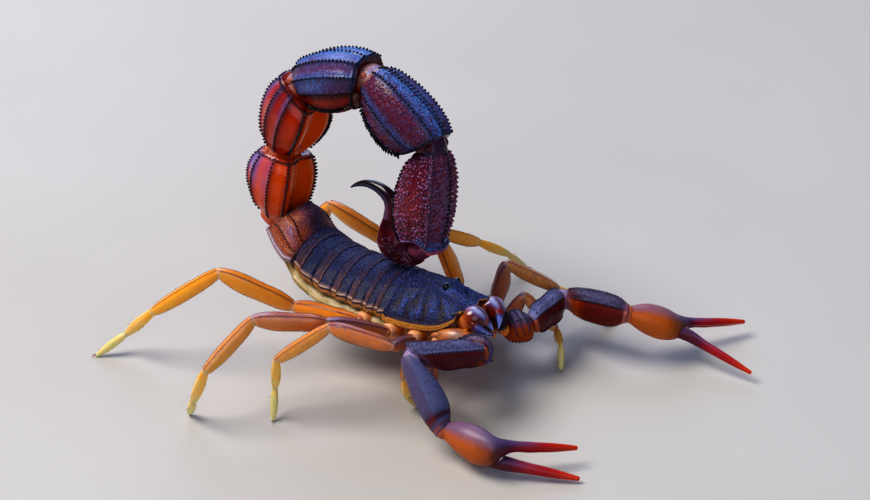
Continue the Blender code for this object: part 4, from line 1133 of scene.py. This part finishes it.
def tail_joint(i, joint, before, after):
    """Skin and two condyle knobs in the joint before a tail segment."""
    up = np.cross(bend_plane(before, after), TAIL_SIDE)
    tall, wide = TAIL_HALF_HEIGHT[i] * 0.56, TAIL_HALF_WIDTH[i] * 0.56
    path = [joint - before * 1.7, joint - before * 0.7 - up * 0.1, joint + after * 0.8 - up * 0.1,
            joint + after * 2.2]
    ends, middle = (wide * 0.9, tall * 0.9), (wide, tall)
    fade = 0.15 if i == 4 else 1.0

    # pale membrane, with a painted blue sheen on the joint's outer side
    def marks(at, around):
        outer = -folded(around)
        return {"tone": 0.75 - 0.6 * fade + 0.3 * ramp(at, 0.4, 0.8),
                "pale": (0.6 * fade * ramp(outer, -25.0, 20.0) * (1.0 - 0.6 * hump(at, 0.2, 0.12))
                         * (1 - ramp(at, 0.4, 0.75))),
                "bloom": 0.8 * fade * ramp(outer, -10.0, 40.0) * ramp(at, 0.35, 0.65)}
    neck = path_skin(path, (ends, middle, middle, ends), TAIL_SIDE, 2.3, upright=False)
    return [loft(neck, 24, 72, marks)] + [
        blob(joint - up * tall * 0.45 + sign * TAIL_SIDE * wide * 0.9, (0.3, 0.5, 0.6), TAIL_SIDE, up,
             {"pale": 0.25 * fade, "tone": 0.7 - 0.6 * fade}) for sign in (1.0, -1.0)]


def build_tail():
    """Five tail segments with their beads, granules and joints."""
    joints, ways, planes = tail_line()
    for i in range(5):
        skin = tail_skin(i, joints[i], joints[i + 1], planes[i], planes[i + 1])
        forms = [loft(skin, 100, 240, tail_marks(i))] + tail_beads(i, skin)
        if TAIL_GRANULES[i]:
            forms.append(tail_granules(i, skin))
        if i == 4:
            forms += end_band(skin)
        if i == 0:
            path = [joints[0] - tail_way(60.0) * 0.7, joints[0], joints[0] + ways[0] * 1.8]
            collar = path_skin(path, ((2.0, 1.9), (2.25, 2.1), (2.2, 2.2)), TAIL_SIDE, 2.3, upright=False)
            forms.append(loft(collar, 20, 72, lambda at, around: {
                "tone": 0.2, "pale": 0.25 * hump(at, 0.5, 0.1)}))
        else:
            forms += tail_joint(i, joints[i], ways[i - 1], ways[i])
        chitin, slot = (TAIL_RED, "tail_red") if i < 2 else (TAIL_LAST if i == 4 else TAIL_DARK, "tail_dark")
        build(f"tail_segment_{i + 1}", forms, chitin, [f"metasoma_{i + 1}"])


def blob(centre, halves, side, up, marks, rows=18, around=24):
    """A closed ball stretched along side, up and the direction across both."""
    lift, turn = net(np.linspace(-math.pi / 2 + 0.06, math.pi / 2 - 0.06, rows), turns(around))
    return tube(moved(centre, (np.cos(lift) * np.cos(turn) * halves[0], side),
                      (np.cos(lift) * np.sin(turn) * halves[2], np.cross(side, up)),
                      (np.sin(lift) * halves[1], up)), marks)


def telson_skin(begin, end, sizes):
    """Surface round the telson's S-shaped midline, whose heading changes evenly with arc length."""
    steps = np.linspace(0.0, TELSON_HEADING_AT[-1], 400)
    even = np.radians(np.interp(steps, TELSON_HEADING_AT, TELSON_HEADING))
    ways = np.cos(even)[:, None] * AHEAD + np.sin(even)[:, None] * TAIL_UP
    line = in_tail_plane(*TELSON_START) + np.concatenate(
        [np.zeros((1, 3)), np.cumsum((ways[1:] + ways[:-1]) / 2.0 * np.diff(steps)[:, None], axis=0)])
    shares = np.linspace(0.0, 1.0, len(sizes))

    def skin(at, around):
        inside, over, close = past_ends(at)
        reach = begin + (end - begin) * inside
        place, way = (np.stack([np.interp(reach, steps, track[:, k]) for k in range(3)], axis=-1)
                      for track in (line, ways))
        way = unit(way)
        half = smooth(inside, shares, sizes) * close
        return moved(place, (np.cos(around) * half * 0.95, TAIL_SIDE),
                     (np.sin(around) * half, np.cross(way, TAIL_SIDE)),
                     (np.sign(at - 0.5) * over * half * 0.4, way))
    return skin


def build_telson():
    """The bulb and the sting that narrows out of it, along one midline."""
    skin = telson_skin(0.0, VESICLE_LENGTH + 0.25, VESICLE_HALF * np.array(VESICLE_SWELL))

    # a painted violet sheen in a band along the bulb; the granules' tops carry painted violet highlights
    def bulb_marks(at, around):
        return {"tone": 0.6 + 0.14 * np.cos(around * 2.0) + 0.15 * ramp(at, 0.75, 1.0),
                "bloom": 0.15 * hump(folded(around), 60.0, 25.0)}
    order = np.arange(BULB_GRANULES)
    at, turn = 0.12 + 0.62 * (order + 0.5) / BULB_GRANULES, order * GOLDEN_TURN
    keep = folded(turn) < 15.0 + 50.0 * (1 - at)
    at, turn, count = at[keep], turn[keep], keep.sum()
    size = DICE.uniform(0.07, 0.13, count)
    granules = strew(skin, at, turn, size, size, {
        "tone": 0.5 + 0.4 * DICE.random(count), "bloom": 0.7 * DICE.random(count) ** 3})
    root = blob(in_tail_plane(24.0, 2.1), (1.9, 1.5, 1.7), TAIL_SIDE, TAIL_UP, {"tone": 0.5, "bloom": 0.15})
    forms = [loft(skin, 90, 96, bulb_marks), granules, root]
    build("telson_bulb", forms, TAIL_LAST, ["telson_vesicle"])

    # a soft painted blue highlight in a band along the sting
    def sting_marks(at, around):
        return {"tone": 1.0 - ramp(at, 0.05, 0.6), "bloom": 0.35 * hump(folded(around), -30, 30)}
    base, tip = STING_BASE_HALF * 1.3, STING_TIP_HALF * 0.35
    sizes = tip + (base - tip) * (1.0 - np.linspace(0.0, 1.0, 9)) ** 0.85
    skin = telson_skin(VESICLE_LENGTH - 0.2, TELSON_HEADING_AT[-1], sizes)
    build("sting_point", [loft(skin, 120, 40, sting_marks)], STING, ["sting"])


# ---- head: jaws ----------------------------------------------------------------------------
def path_skin(points, sizes, side, power=2.2, upright=True):
    """Surface round a smooth path through points, with half width and height by station.

    The points are in the trunk's frame unless upright is off.
    """
    side, stations = np.asarray(side, float), np.linspace(0.0, 1.0, len(points))

    def skin(at, around):
        inside, over, close = past_ends(at)
        place, ahead, behind = (path_at(np.clip(inside + step, 0, 1), stations, points)
                                for step in (0.0, 0.01, -0.01))
        way = unit(ahead - behind)
        across = unit(side - (way @ side)[..., None] * way)
        c, s = squared(around, power)
        wide, tall = (smooth(inside, stations, column) * close for column in np.transpose(sizes))
        whole = moved(place, (c * wide, across), (s * tall, np.cross(way, across)),
                      (np.sign(at - 0.5) * over * wide * 0.7, way))
        return stand(whole) if upright else whole
    return skin


def bulb_marks(at, around):
    """A painted lavender-blue sheen and pale painted highlights on the jaw's top, orange-brown flanks
    lightest at the root, partly their own colour and partly painted light against the carapace's shade, and a
    red joint where the finger begins.
    """
    fold = folded(around)
    top = ramp(fold, 0.0, 50.0) * ramp(at, 0.3, 0.45)
    joint = hump(at, 0.6, 0.045) * (0.5 + 0.5 * np.cos(3.0 * around + 0.6))
    crest = hump(fold, 66.0, 15.0) * hump(at, 0.42, 0.12)
    blue = 0.5 * hump(fold, 60.0, 20.0) * ramp(at, 0.25, 0.4) * (1.0 - joint)
    blue = blue * (1.0 - 0.5 * ramp(at, 0.5, 0.62))
    return {"ridge": 0.75 * np.clip(joint, 0, 1), **held(
        tone=0.48 + 0.1 * ramp(fold, 0, 50) - 0.5 * (1 - ramp(at, 0.22, 0.4)) + 0.45 * ramp(at, 0.6, 0.72),
        bloom=blue + 0.75 * top * ramp(at, 0.62, 0.74),
        pale=0.6 * crest + 0.7 * hump(fold, 78.0, 9.0) * ramp(at, 0.68, 0.78))}


def jaw_finger_marks(at, around):
    """A painted violet sheen on top and a pale painted highlight along the crest of the jaw's moving finger.
    """
    fold = folded(around)
    return {"tone": 0.5 + 0.35 * ramp(at, 0.2, 0.4),
            "bloom": 0.75 * hump(fold, 60.0, 40.0) * ramp(at, 0.2, 0.35),
            "pale": 0.6 * hump(fold, 66.0, 11.0) * ramp(at, 0.3, 0.5)}


def build_jaws():
    """Each jaw: a glossy teardrop that ends in its fixed finger, and a curved blade outside it."""
    for name, side in (("chelicera_left", 1.0), ("chelicera_right", -1.0)):
        bulb = path_skin(np.array(JAW_BULB) * [side, 1.0, 1.0], JAW_BULB_SIZES, [1.0, 0.0, 0.0], 2.1)
        outer = path_skin(np.array(JAW_BLADE) * [side, 1.0, 1.0], JAW_BLADE_SIZES, UPRIGHT, 2.1)
        forms = [loft(bulb, 120, 80, bulb_marks), loft(outer, 60, 44, jaw_finger_marks)]
        for finger, angle, at in ((bulb, -1.2, [0.78, 0.84, 0.9]), (outer, 1.4, [0.5, 0.65, 0.8])):
            forms.append(strew(finger, np.array(at), np.full(3, angle), 0.13, 0.2, {"tone": 1.0}, sides=6,
                               lean=0.12))
        build(name + "_jaw", forms, JAW, [name])


# ---- underside of the head: coxae ------------------------------------------------------------
def coxa_marks(at, around):
    """Darker along the middle of a leg base, a painted violet sheen above, and pale where the leg begins."""
    fold = folded(around)
    return {"tone": 0.55 + 0.35 * hump(fold, 0.0, 18.0), "bloom": 0.35 * ramp(fold, 30, 70),
            "pale": 0.35 * ramp(at, 0.82, 1.0)}


def lobe_marks(at, around):
    """Wavy brown bands and fine dark lines on the lobes under the head, with a faint painted violet sheen on
    their near part.
    """
    tone = 0.8 - 0.15 * np.cos(at * 13.0 + 2.0 * np.sin(2.0 * around)) - 0.15 * ramp(at, 0.7, 1)
    return {"tone": np.clip(tone, 0, 1), "bloom": 0.2 * (1 - ramp(at, 0.6, 0.8)),
            "pale": 0.4 * hump(folded(around), 35.0, 30.0) * hump(at, 0.35, 0.2),
            "ridge": 0.35 * hump(np.sin(at * 10.0 + around), 0.0, 0.12)}


def build_coxae():
    """The head's underside: a core, four pairs of leg bases, and the lobes ahead of them."""
    at, turn = belly_net(80, 96)
    forms = [tube(belly_skin(-11.2, 3.6, 1.0)(at, turn), {"tone": 0.75, "pale": 0.2 * (np.sin(turn) > 0)})]
    for number, (x, y, z) in LEG_HIPS.items():
        k = LEG_SCALE[number]
        sizes = ((0.0, 0.7, 0.8), (0.35, 1.0 * k, 1.1 * k), (0.8, 1.2 * k, 1.3 * k), (1.0, 0.9 * k, 1.0 * k))
        for side in (1.0, -1.0):
            root = stand([side * 1.3, y + (0.9 if number < 3 else -0.6), 6.9])
            coxa = limb_skin(root, stand([side * (x - 0.15), y, z]), sizes, -AHEAD, 2.4, gap=0.0)
            forms.append(loft(coxa, 36, 40, coxa_marks))
    for side in (1.0, -1.0):
        for points, sizes in HEAD_LOBES:
            lobe = path_skin(np.array(points) * [side, 1.0, 1.0], sizes, [1.0, 0.0, 0.0])
            forms.append(loft(lobe, 40, 36, lobe_marks))
    build("leg_bases", forms, AMBER, ["prosoma_underside"])


# ---- legs ----------------------------------------------------------------------------------
def leg_joints(name):
    """Hip, the four joints after it, and the toe, which comes down to the floor."""
    side, number = name.split("_")
    pose, hip = LEG_POSE[name], LEG_HIPS[int(number)]
    joints = [stand(np.array(hip) * [1.0 if side == "left" else -1.0, 1.0, 1.0])]
    for (turn, lift), length in zip(pose, LEG_LENGTHS[int(number)]):
        joints.append(joints[-1] + heading(turn, lift) * length)
    last = heading(*pose[-1])
    joints.append(joints[-1] + last * (joints[-1][2] - FLOOR_PAD) / -last[2])
    return np.array(joints)


# tone at the segment's start and end, and how much painted violet sheen its far end's top takes, from hip to
# toe
LEG_TONES = ((0.7, 0.7, 0.75), (0.6, 0.5, 0.5), (0.45, 0.3, 0.2), (0.34, 0.24, 0.0), (0.24, 0.02, 0.0))


def leg_marks(s, painted_light, sky_sheen):
    """Marks of a leg's segment: tone and painted violet sheen change from its start to its far end; the legs
    that catch most light are painted lighter on femur and patella, and others take a painted blue sky sheen.
    """
    first_tone, last_tone, violet = LEG_TONES[s]
    darker = painted_light if s < 2 else 0.1 if s == 2 else 0.16

    def marks(at, around):
        fold = folded(around)
        edge = hump(fold, LEG_EDGES[0], 7.0) + hump(fold, LEG_EDGES[1], 8.0)
        tone = first_tone + (last_tone - first_tone) * np.clip(at, 0, 1) + 0.12 * ramp(fold, 40, 80) * (s < 3)
        dusk = violet * (1.1 - 4.0 * painted_light) * (0.4 + 0.6 * ramp(at, 0.3, 1.0)) * ramp(fold, 10, 70)
        return {"tone": np.clip(tone - darker, 0, 1), "bloom": sky_sheen * (s < 3) + dusk,
                "ridge": (0.75, 0.55, 0.35, 0.1, 0.05)[s] * np.clip(edge, 0, 1),
                "pale": 0.25 * (1.0 - ramp(np.minimum(at, 1.0 - at), 0.0, 0.05))}
    return marks


def leg_segment(s, joints, ways, side, k, painted_light, sky_sheen):
    """Forms of one leg segment: its shell, beads on its edges, the joint's knobs and bristles."""
    start, end, way = joints[s], joints[s + 1], ways[s]
    up = np.cross(way, side)
    before = bend_plane(ways[s - 1], way) if s else None
    after = bend_plane(way, ways[s + 1]) if s < 4 else None

    def relief(at, around):
        fold = folded(around)
        return 0.07 * k * sum(hump(fold, edge, 9.0) for edge in LEG_EDGES)
    sizes = np.array(LEG_SIZES[s]) * [1.0, k, k]
    if s == 4:
        # the toe is as thick on every leg
        sizes[-2:] = LEG_SIZES[s][-2:]
    skin = limb_skin(start, end, sizes, side, 2.3, before, after, relief if s < 4 else None, gap=0.1)
    forms = [loft(skin, 70, 40, leg_marks(s, painted_light, sky_sheen))]
    if s < 3:
        length = np.linalg.norm(end - start)
        forms += [bead_row(skin, length, math.radians(fold), {"ridge": 0.95, "tone": 0.8}, spacing=0.4,
                           size=0.08 * k, sides=5) for fold in both_flanks(LEG_EDGES)]
    if s < 4:
        ball = LEG_SIZES[s + 1][0][1] * k * 0.98
        forms.append(blob(end, (ball, ball * 1.1, ball), side, up,
                          {"tone": max(LEG_TONES[s][1] - 0.25, 0.0), "pale": 0.45, "bloom": 0.3}, 14, 18))
        knob, marks = (ball * 0.3, ball * 0.55, ball * 0.55), {"tone": 0.2, "pale": 0.7, "bloom": 0.5}
        for sign in (1.0, -1.0):
            forms.append(blob(end + side * sign * ball * 0.75, knob, side, up, marks, 10, 14))
    if s == 0:
        forms.append(blob(start - way * 0.1, (0.68 * k, 0.74 * k, 0.68 * k), side, up,
                          {"tone": 0.75, "bloom": 0.3}, 16, 22))
    if s == 4:
        forms += claws(end, way, side)
    count = LEG_BRISTLES[s]
    at, turn = DICE.uniform(0.15, 0.9, count), DICE.uniform(0, 2 * math.pi, count)
    forms.append(strew(skin, at, turn, 0.022, 0.42, {"ridge": 0.9}, lean=0.25))
    return forms


def build_legs():
    """Eight legs: femur and patella alone, and the three segments beyond them in one piece."""
    for name in LEG_POSE:
        k = LEG_SCALE[int(name[-1])]
        joints = leg_joints(name)
        # lighter femur and patella on the legs that catch most light, as painted light; a painted blue sky
        # sheen on the others, strongest on the far front legs
        painted_light = 0.18 if name in ("right_4", "left_4", "left_3") else -0.04
        sky_sheen = 0.45 if name in ("left_1", "left_2") else 0.0 if painted_light > 0 else 0.28
        reach = joints[-1] - joints[0]
        side, ways = unit([-reach[1], reach[0], 0.0]), unit(np.diff(joints, axis=0))
        femur, patella, *foot = [leg_segment(s, joints, ways, side, k, painted_light, sky_sheen) for s in range(5)]
        for label, forms in (("femur", femur), ("patella", patella)):
            build(f"{name}_{label}_shell", forms, AMBER, [f"leg_{name}_{label}"])
        build(f"{name}_lower_leg", sum(foot, []), AMBER, [f"leg_{name}_foot"])


def claws(toe, way, side):
    """Two curved claws at the toe, lying on the floor, as tapering arcs."""
    at, turn = net(np.linspace(0.0, 1.0, 14), turns(8))
    flat, half = unit([way[0], way[1], 0.0]), 0.1 * (1.0 - 0.8 * at)
    return [tube(moved(toe + UPRIGHT * 0.08, (at * 0.75, flat), (sign * 0.28 * np.sin(at * 1.6), side),
                       (0.12 * np.sin(at * math.pi) - 0.14 * at, UPRIGHT),
                       (np.cos(turn) * half, side), (np.sin(turn) * half, UPRIGHT)),
                 {"tone": 0.9, "ridge": 0.5 * at}) for sign in (1.0, -1.0)]


# ---- pincers -------------------------------------------------------------------------------
def arm_marks(label, right, upper):
    """Marks of an arm segment: slate above the upper keels under a painted blue sky sheen, wine red between,
    by its side.
    """
    def marks(at, around):
        fold = folded(around)
        top = ramp(fold, upper - 8.0, upper + 4.0)
        tone, bloom = 0.48 + 0.35 * top - 0.15 * ramp(-fold, 30, 60), 0.75 * top + 0.04
        if label == "trochanter":
            low = -90.0 if right else 15.0
            up = ramp(fold, low, low + 40.0)
            tone, bloom = 0.18 + 0.4 * up, 0.5 * up * ramp(at, 0.2, 0.5)
        elif label == "patella" and right:
            tone = tone + 0.15 - 0.25 * hump(at, 0.86, 0.04)
            bloom = (0.55 + 0.2 * top - 0.35 * ramp(-fold, 35, 60)) * (1.0 - 0.9 * hump(at, 0.86, 0.05))
        elif label == "patella":
            tone = tone - 0.3 * (1.0 - ramp(at, 0.12, 0.3)) - 0.12 * ramp(-fold, 5, 30)
            bloom = 0.3 * bloom * ramp(at, 0.15, 0.3)
        rim, ends = hump(at, 0.97, 0.03), 1.0 - ramp(np.minimum(at, 1.0 - at), 0.02, 0.1)
        return held(tone=tone - 0.5 * rim * (label == "patella"), bloom=bloom * (1 - rim),
                    pale=0.2 * ends * (label != "trochanter"))
    return marks


def arm_segment(label, right, begin, end, way, low_plane, high_plane):
    """Forms of one arm segment: its keeled shell, beads on the keels, and granules on top."""
    plump, slim = right and label == "patella", label == "trochanter"
    edges = (38.0 if right and label == "femur" else 52.0, -42.0)

    def relief(at, around):
        fold = folded(around)
        edge = sum(hump(fold, corner, 6.0) for corner in edges)
        return (0.05 if plump else 0.15) * edge * ramp(at, 0.02, 0.12) * (1 - ramp(at, 0.9, 0.98))
    skin = limb_skin(begin, end, ARM_SIZES[label], np.cross(UPRIGHT, way), 2.12 if plump or slim else 2.5,
                     low_plane, high_plane, relief)
    length = np.linalg.norm(end - begin)
    forms = [loft(skin, 90, 96, arm_marks(label, right, edges[0]))]
    # beads and granules carry a painted blue-violet sheen on their tops
    for turned in () if plump else both_flanks(edges):
        forms.append(bead_row(skin, length, math.radians(turned), {"ridge": 0.8, "bloom": 0.8, "tone": 1.0},
                              spacing=0.4, size=0.14, low=0.12, high=0.9))
    for turned in both_flanks([5.0]) if label == "femur" else ():
        forms.append(bead_row(skin, length, math.radians(turned), {"ridge": 0.5, "bloom": 0.6, "tone": 0.8},
                              spacing=0.62, size=0.13, height=0.14, low=0.12, high=0.88))
    for place in (0.4, 0.58, 0.76) if slim else ():
        turn = np.radians(np.arange(0.0, 181.0, 9.0))
        forms.append(strew(skin, np.full(len(turn), place), turn, 0.15, 0.16,
                           {"ridge": 0.35, "bloom": 0.4, "tone": 0.8}, sides=6))
    count = 160 if slim else (20 if plump else 420)
    at, turn = DICE.uniform(0.1, 0.92, count), DICE.uniform(math.radians(52), math.radians(128), count)
    forms.append(strew(skin, at, turn, 0.07, 0.07, {"tone": 0.8, "bloom": 0.9 * DICE.random(count)}))
    return forms


def arm_joint(label, right, end, way, follow):
    """Smooth condyle that fills the joint beyond an arm segment, with a knob at the first."""
    side = np.cross(UPRIGHT, way)
    if label == "patella":
        return [blob(end, (1.15, 1.2, 1.0), unit(side), UPRIGHT, {"tone": 0.0, "pale": 0.1})]
    forms, ball = [], 1.15 if right or label == "trochanter" else 1.5
    if label == "trochanter":
        knob = end + np.array([0.3 if right else -0.3, -1.05, 0.0])
        forms.append(blob(knob, (0.45, 1.0, 0.5), unit(follow), UPRIGHT, {"tone": 0.12, "bloom": 0.08}))
    plane = bend_plane(way, follow)
    up = unit(np.cross(plane, side))
    forms.append(blob(end, (ball, ball * 0.95, ball), unit(np.cross(up, plane)), up,
                      {"pale": 0.75 if label == "femur" else 0.2, "tone": 0.2, "bloom": 0.4}))
    return forms


def build_pincers():
    """Both arms, from the trochanter at the head to the hand."""
    for side_name, mirror in (("right", -1.0), ("left", 1.0)):
        points = [stand([mirror * 4.1, -13.4, 7.7]), stand(PALP_HIPS[side_name])]
        ways = [heading(*pose) for pose in PALP_POSE[side_name]]
        for way, label in zip(ways, PALP_LENGTHS):
            points.append(points[-1] + way * PALP_LENGTHS[label])
        ways = [unit(points[1] - points[0])] + ways
        planes = [ways[0]] + [bend_plane(a, b) for a, b in zip(ways[:3], ways[1:4])]
        for s, label in enumerate(ARM_SIZES):
            right = side_name == "right"
            forms = arm_segment(label, right, points[s], points[s + 1], ways[s], planes[s], planes[s + 1])
            forms += arm_joint(label, right, points[s + 1], ways[s], ways[s + 1])
            build(f"arm_{side_name}_{label}", forms, ARM, [f"pedipalp_{side_name}_{label}"])
        build_hand(side_name, *points[3:])


def finger_path(points, stations, sizes, power, across, spread, reach):
    """Surface round a path whose sections all stand square to reach, with sizes by station."""
    def skin(at, around):
        inside, over, close = past_ends(at)
        c, s = squared(around, power)
        wide, tall = (smooth(inside, stations, column) * close for column in np.transpose(sizes))
        return moved(path_at(inside, stations, points), (c * wide, across), (s * tall, spread),
                     (np.sign(at - 0.5) * over * 0.25, reach))
    return skin


def build_hand(side_name, wrist, knuckle, tip):
    """Palm that narrows into the fixed finger in one skin, and the moving finger beside it."""
    length = PALP_LENGTHS["finger"]
    reach = unit(tip - wrist)
    lower_way = heading(*LOWER_FINGER[side_name])
    spread = unit(lower_way - np.dot(lower_way, reach) * reach)
    across = np.cross(reach, spread)
    crest = unit(UPRIGHT - np.dot(UPRIGHT, reach) * reach)
    base = knuckle - spread * 0.9
    middle = [wrist + reach * 0.1, wrist * 0.65 + knuckle * 0.35, wrist * 0.3 + knuckle * 0.7]
    middle += [knuckle - spread * 0.35, *(base + (tip - base) * share for share in (0.16, 0.45, 0.75)), tip]
    run = np.concatenate([[0.0], np.cumsum(np.linalg.norm(np.diff(middle, axis=0), axis=1))])
    fixed = finger_path(middle, run / run[-1], PALM_SIZES, 2.15, across, spread, reach)
    root = knuckle + spread * 1.2 + reach * 0.2
    line = [root - reach * 0.9 - spread * 0.1, root + lower_way * 0.6, root + lower_way * 4.0,
            root + lower_way * 7.6, root + lower_way * length]
    moving = finger_path(line, FINGER_STATIONS, FINGER_SIZES, 2.2, across, spread, reach)
    # painted violet sky sheen: even over the palm, extra on its top, and the span of upward looks that counts
    # as top
    dusk, dark, edge = (0.05, 0.7, (0.25, 0.95)) if side_name == "right" else (0.0, 0.6, (0.6, 1.05))

    def upward(around, low, high):
        """How far the surface looks up, for the crest's painted violet sky sheen and the flank's orange."""
        looks = np.cos(around)[..., None] * across + np.sin(around)[..., None] * spread
        return ramp(looks @ crest, low, high)

    # the palm's top also takes a faint painted highlight
    def palm_marks(at, around):
        top, palm = upward(around, *edge), 1.0 - ramp(at, 0.36, 0.52)
        tone = (1.0 - 0.16 * ramp(at, 0.22, 0.4) - 0.34 * (1 - palm) - 0.25 * ramp(at, 0.5, 0.68)
                - 0.25 * ramp(at, 0.7, 1.0))
        violet = (dusk + dark * top) * palm + 0.6 * top * (1 - palm) * (1 - ramp(at, 0.6, 0.8))
        return held(tone=tone, bloom=violet, pale=0.05 * top * palm * hump(at, 0.22, 0.12))

    # a painted violet sheen on the moving finger's top near its root
    def finger_marks(at, around):
        return {"tone": 0.55 - 0.3 * ramp(at, 0.15, 0.5) - 0.25 * ramp(at, 0.6, 1.0),
                "bloom": 0.35 * upward(around, 0.2, 0.8) * (1 - ramp(at, 0.3, 0.7))}

    teeth = dict(marks={"pale": 0.55, "tone": 0.1}, spacing=0.24, high=0.985, sides=5)
    forms = [loft(fixed, 150, 72, palm_marks),
             bead_row(fixed, np.linalg.norm(tip - wrist), math.pi / 2, size=0.075, height=0.11, low=0.56,
                      **teeth),
             blob(knuckle + spread * 0.35 + reach * 0.55, (0.7, 0.75, 0.6), across, spread, {"pale": 1.0})]
    build(f"hand_{side_name}", forms, HAND, [f"pedipalp_{side_name}_palm"])
    forms = [loft(moving, 90, 56, finger_marks),
             bead_row(moving, length, -math.pi / 2, size=0.07, height=0.1, low=0.2, **teeth)]
    build(f"moving_finger_{side_name}", forms, HAND, [f"pedipalp_{side_name}_finger"])


# ---- stage ---------------------------------------------------------------------------------
def placed(name, data, right, up, back, place):
    """An object that looks along minus back from a place, linked to the scene."""
    holder = bpy.data.objects.new(name, data)
    bpy.context.scene.collection.objects.link(holder)
    axes = np.eye(4)
    axes[:3, :4] = np.stack([right, up, back, place], axis=1)
    holder.matrix_world = Matrix(axes)
    return holder


def build_stage():
    """Pale floor, a soft bluish sky, large soft lamps and the camera."""
    scene = bpy.context.scene
    mesh = bpy.data.meshes.new("floor")
    corners = [(x * FLOOR_HALF, y * FLOOR_HALF, 0) for x, y in ((-1, -1), (1, -1), (1, 1), (-1, 1))]
    mesh.from_pydata(corners, [], [(0, 1, 2, 3)])
    floor = bpy.data.objects.new("floor", mesh)
    scene.collection.objects.link(floor)
    ground = bpy.data.materials.new("pale_studio_floor")
    ground.use_nodes = True
    tree = ground.node_tree
    place = add(tree, "ShaderNodeTexCoord", out="Object")
    cloud = add(tree, "ShaderNodeTexNoise", {"Vector": place, "Scale": 9.0, "Detail": 3.0}, "Fac")
    tint = add(tree, "ShaderNodeValToRGB", {"Fac": cloud}, stops=((0.3, "B7B3AD"), (0.7, "C0BDB7")))
    shader = tree.nodes["Principled BSDF"]
    tree.links.new(tint, shader.inputs["Base Color"])
    shader.inputs["Roughness"].default_value = 0.8
    mesh.materials.append(ground)

    world = bpy.data.worlds.new("studio")
    scene.world = world
    world.use_nodes = True
    sky = world.node_tree.nodes["Background"]
    sky.inputs["Color"].default_value = linear(SKY_COLOUR)
    sky.inputs["Strength"].default_value = SKY_STRENGTH

    target = SHIFT * MM + UPRIGHT * TARGET_HEIGHT
    for name, way, size, watts, hexa in LAMPS:
        lamp = bpy.data.lights.new(name, "AREA")
        lamp.shape, lamp.size, lamp.energy = "DISK", size, watts
        lamp.color = linear(hexa)[:3]
        back = unit(way)
        right = unit(np.cross(UPRIGHT, back))
        placed(name, lamp, right, np.cross(back, right), back, target + np.array(way))

    back = heading(CAMERA_TURN - 90.0, CAMERA_LIFT)
    right = heading(CAMERA_TURN, 0.0)
    up = np.cross(back, right)
    place = (back * CAMERA_AWAY + right * CAMERA_ASIDE + up * CAMERA_ABOVE + SHIFT) * MM
    roll = math.radians(CAMERA_ROLL)
    lens = bpy.data.cameras.new("camera")
    lens.lens, lens.sensor_width, lens.sensor_fit = LENS, SENSOR, "HORIZONTAL"
    lens.clip_start, lens.clip_end = 0.01, 20.0
    scene.camera = placed("camera", lens, math.cos(roll) * right + math.sin(roll) * up,
                          -math.sin(roll) * right + math.cos(roll) * up, back, place)
    scene.view_settings.view_transform = "Standard"
    scene.view_settings.look = "High Contrast"


build_stage()
build_carapace()
build_eyes()
build_tergites()
build_belly()
build_pectines()
build_jaws()
build_coxae()
build_tail()
build_telson()
build_legs()
build_pincers()
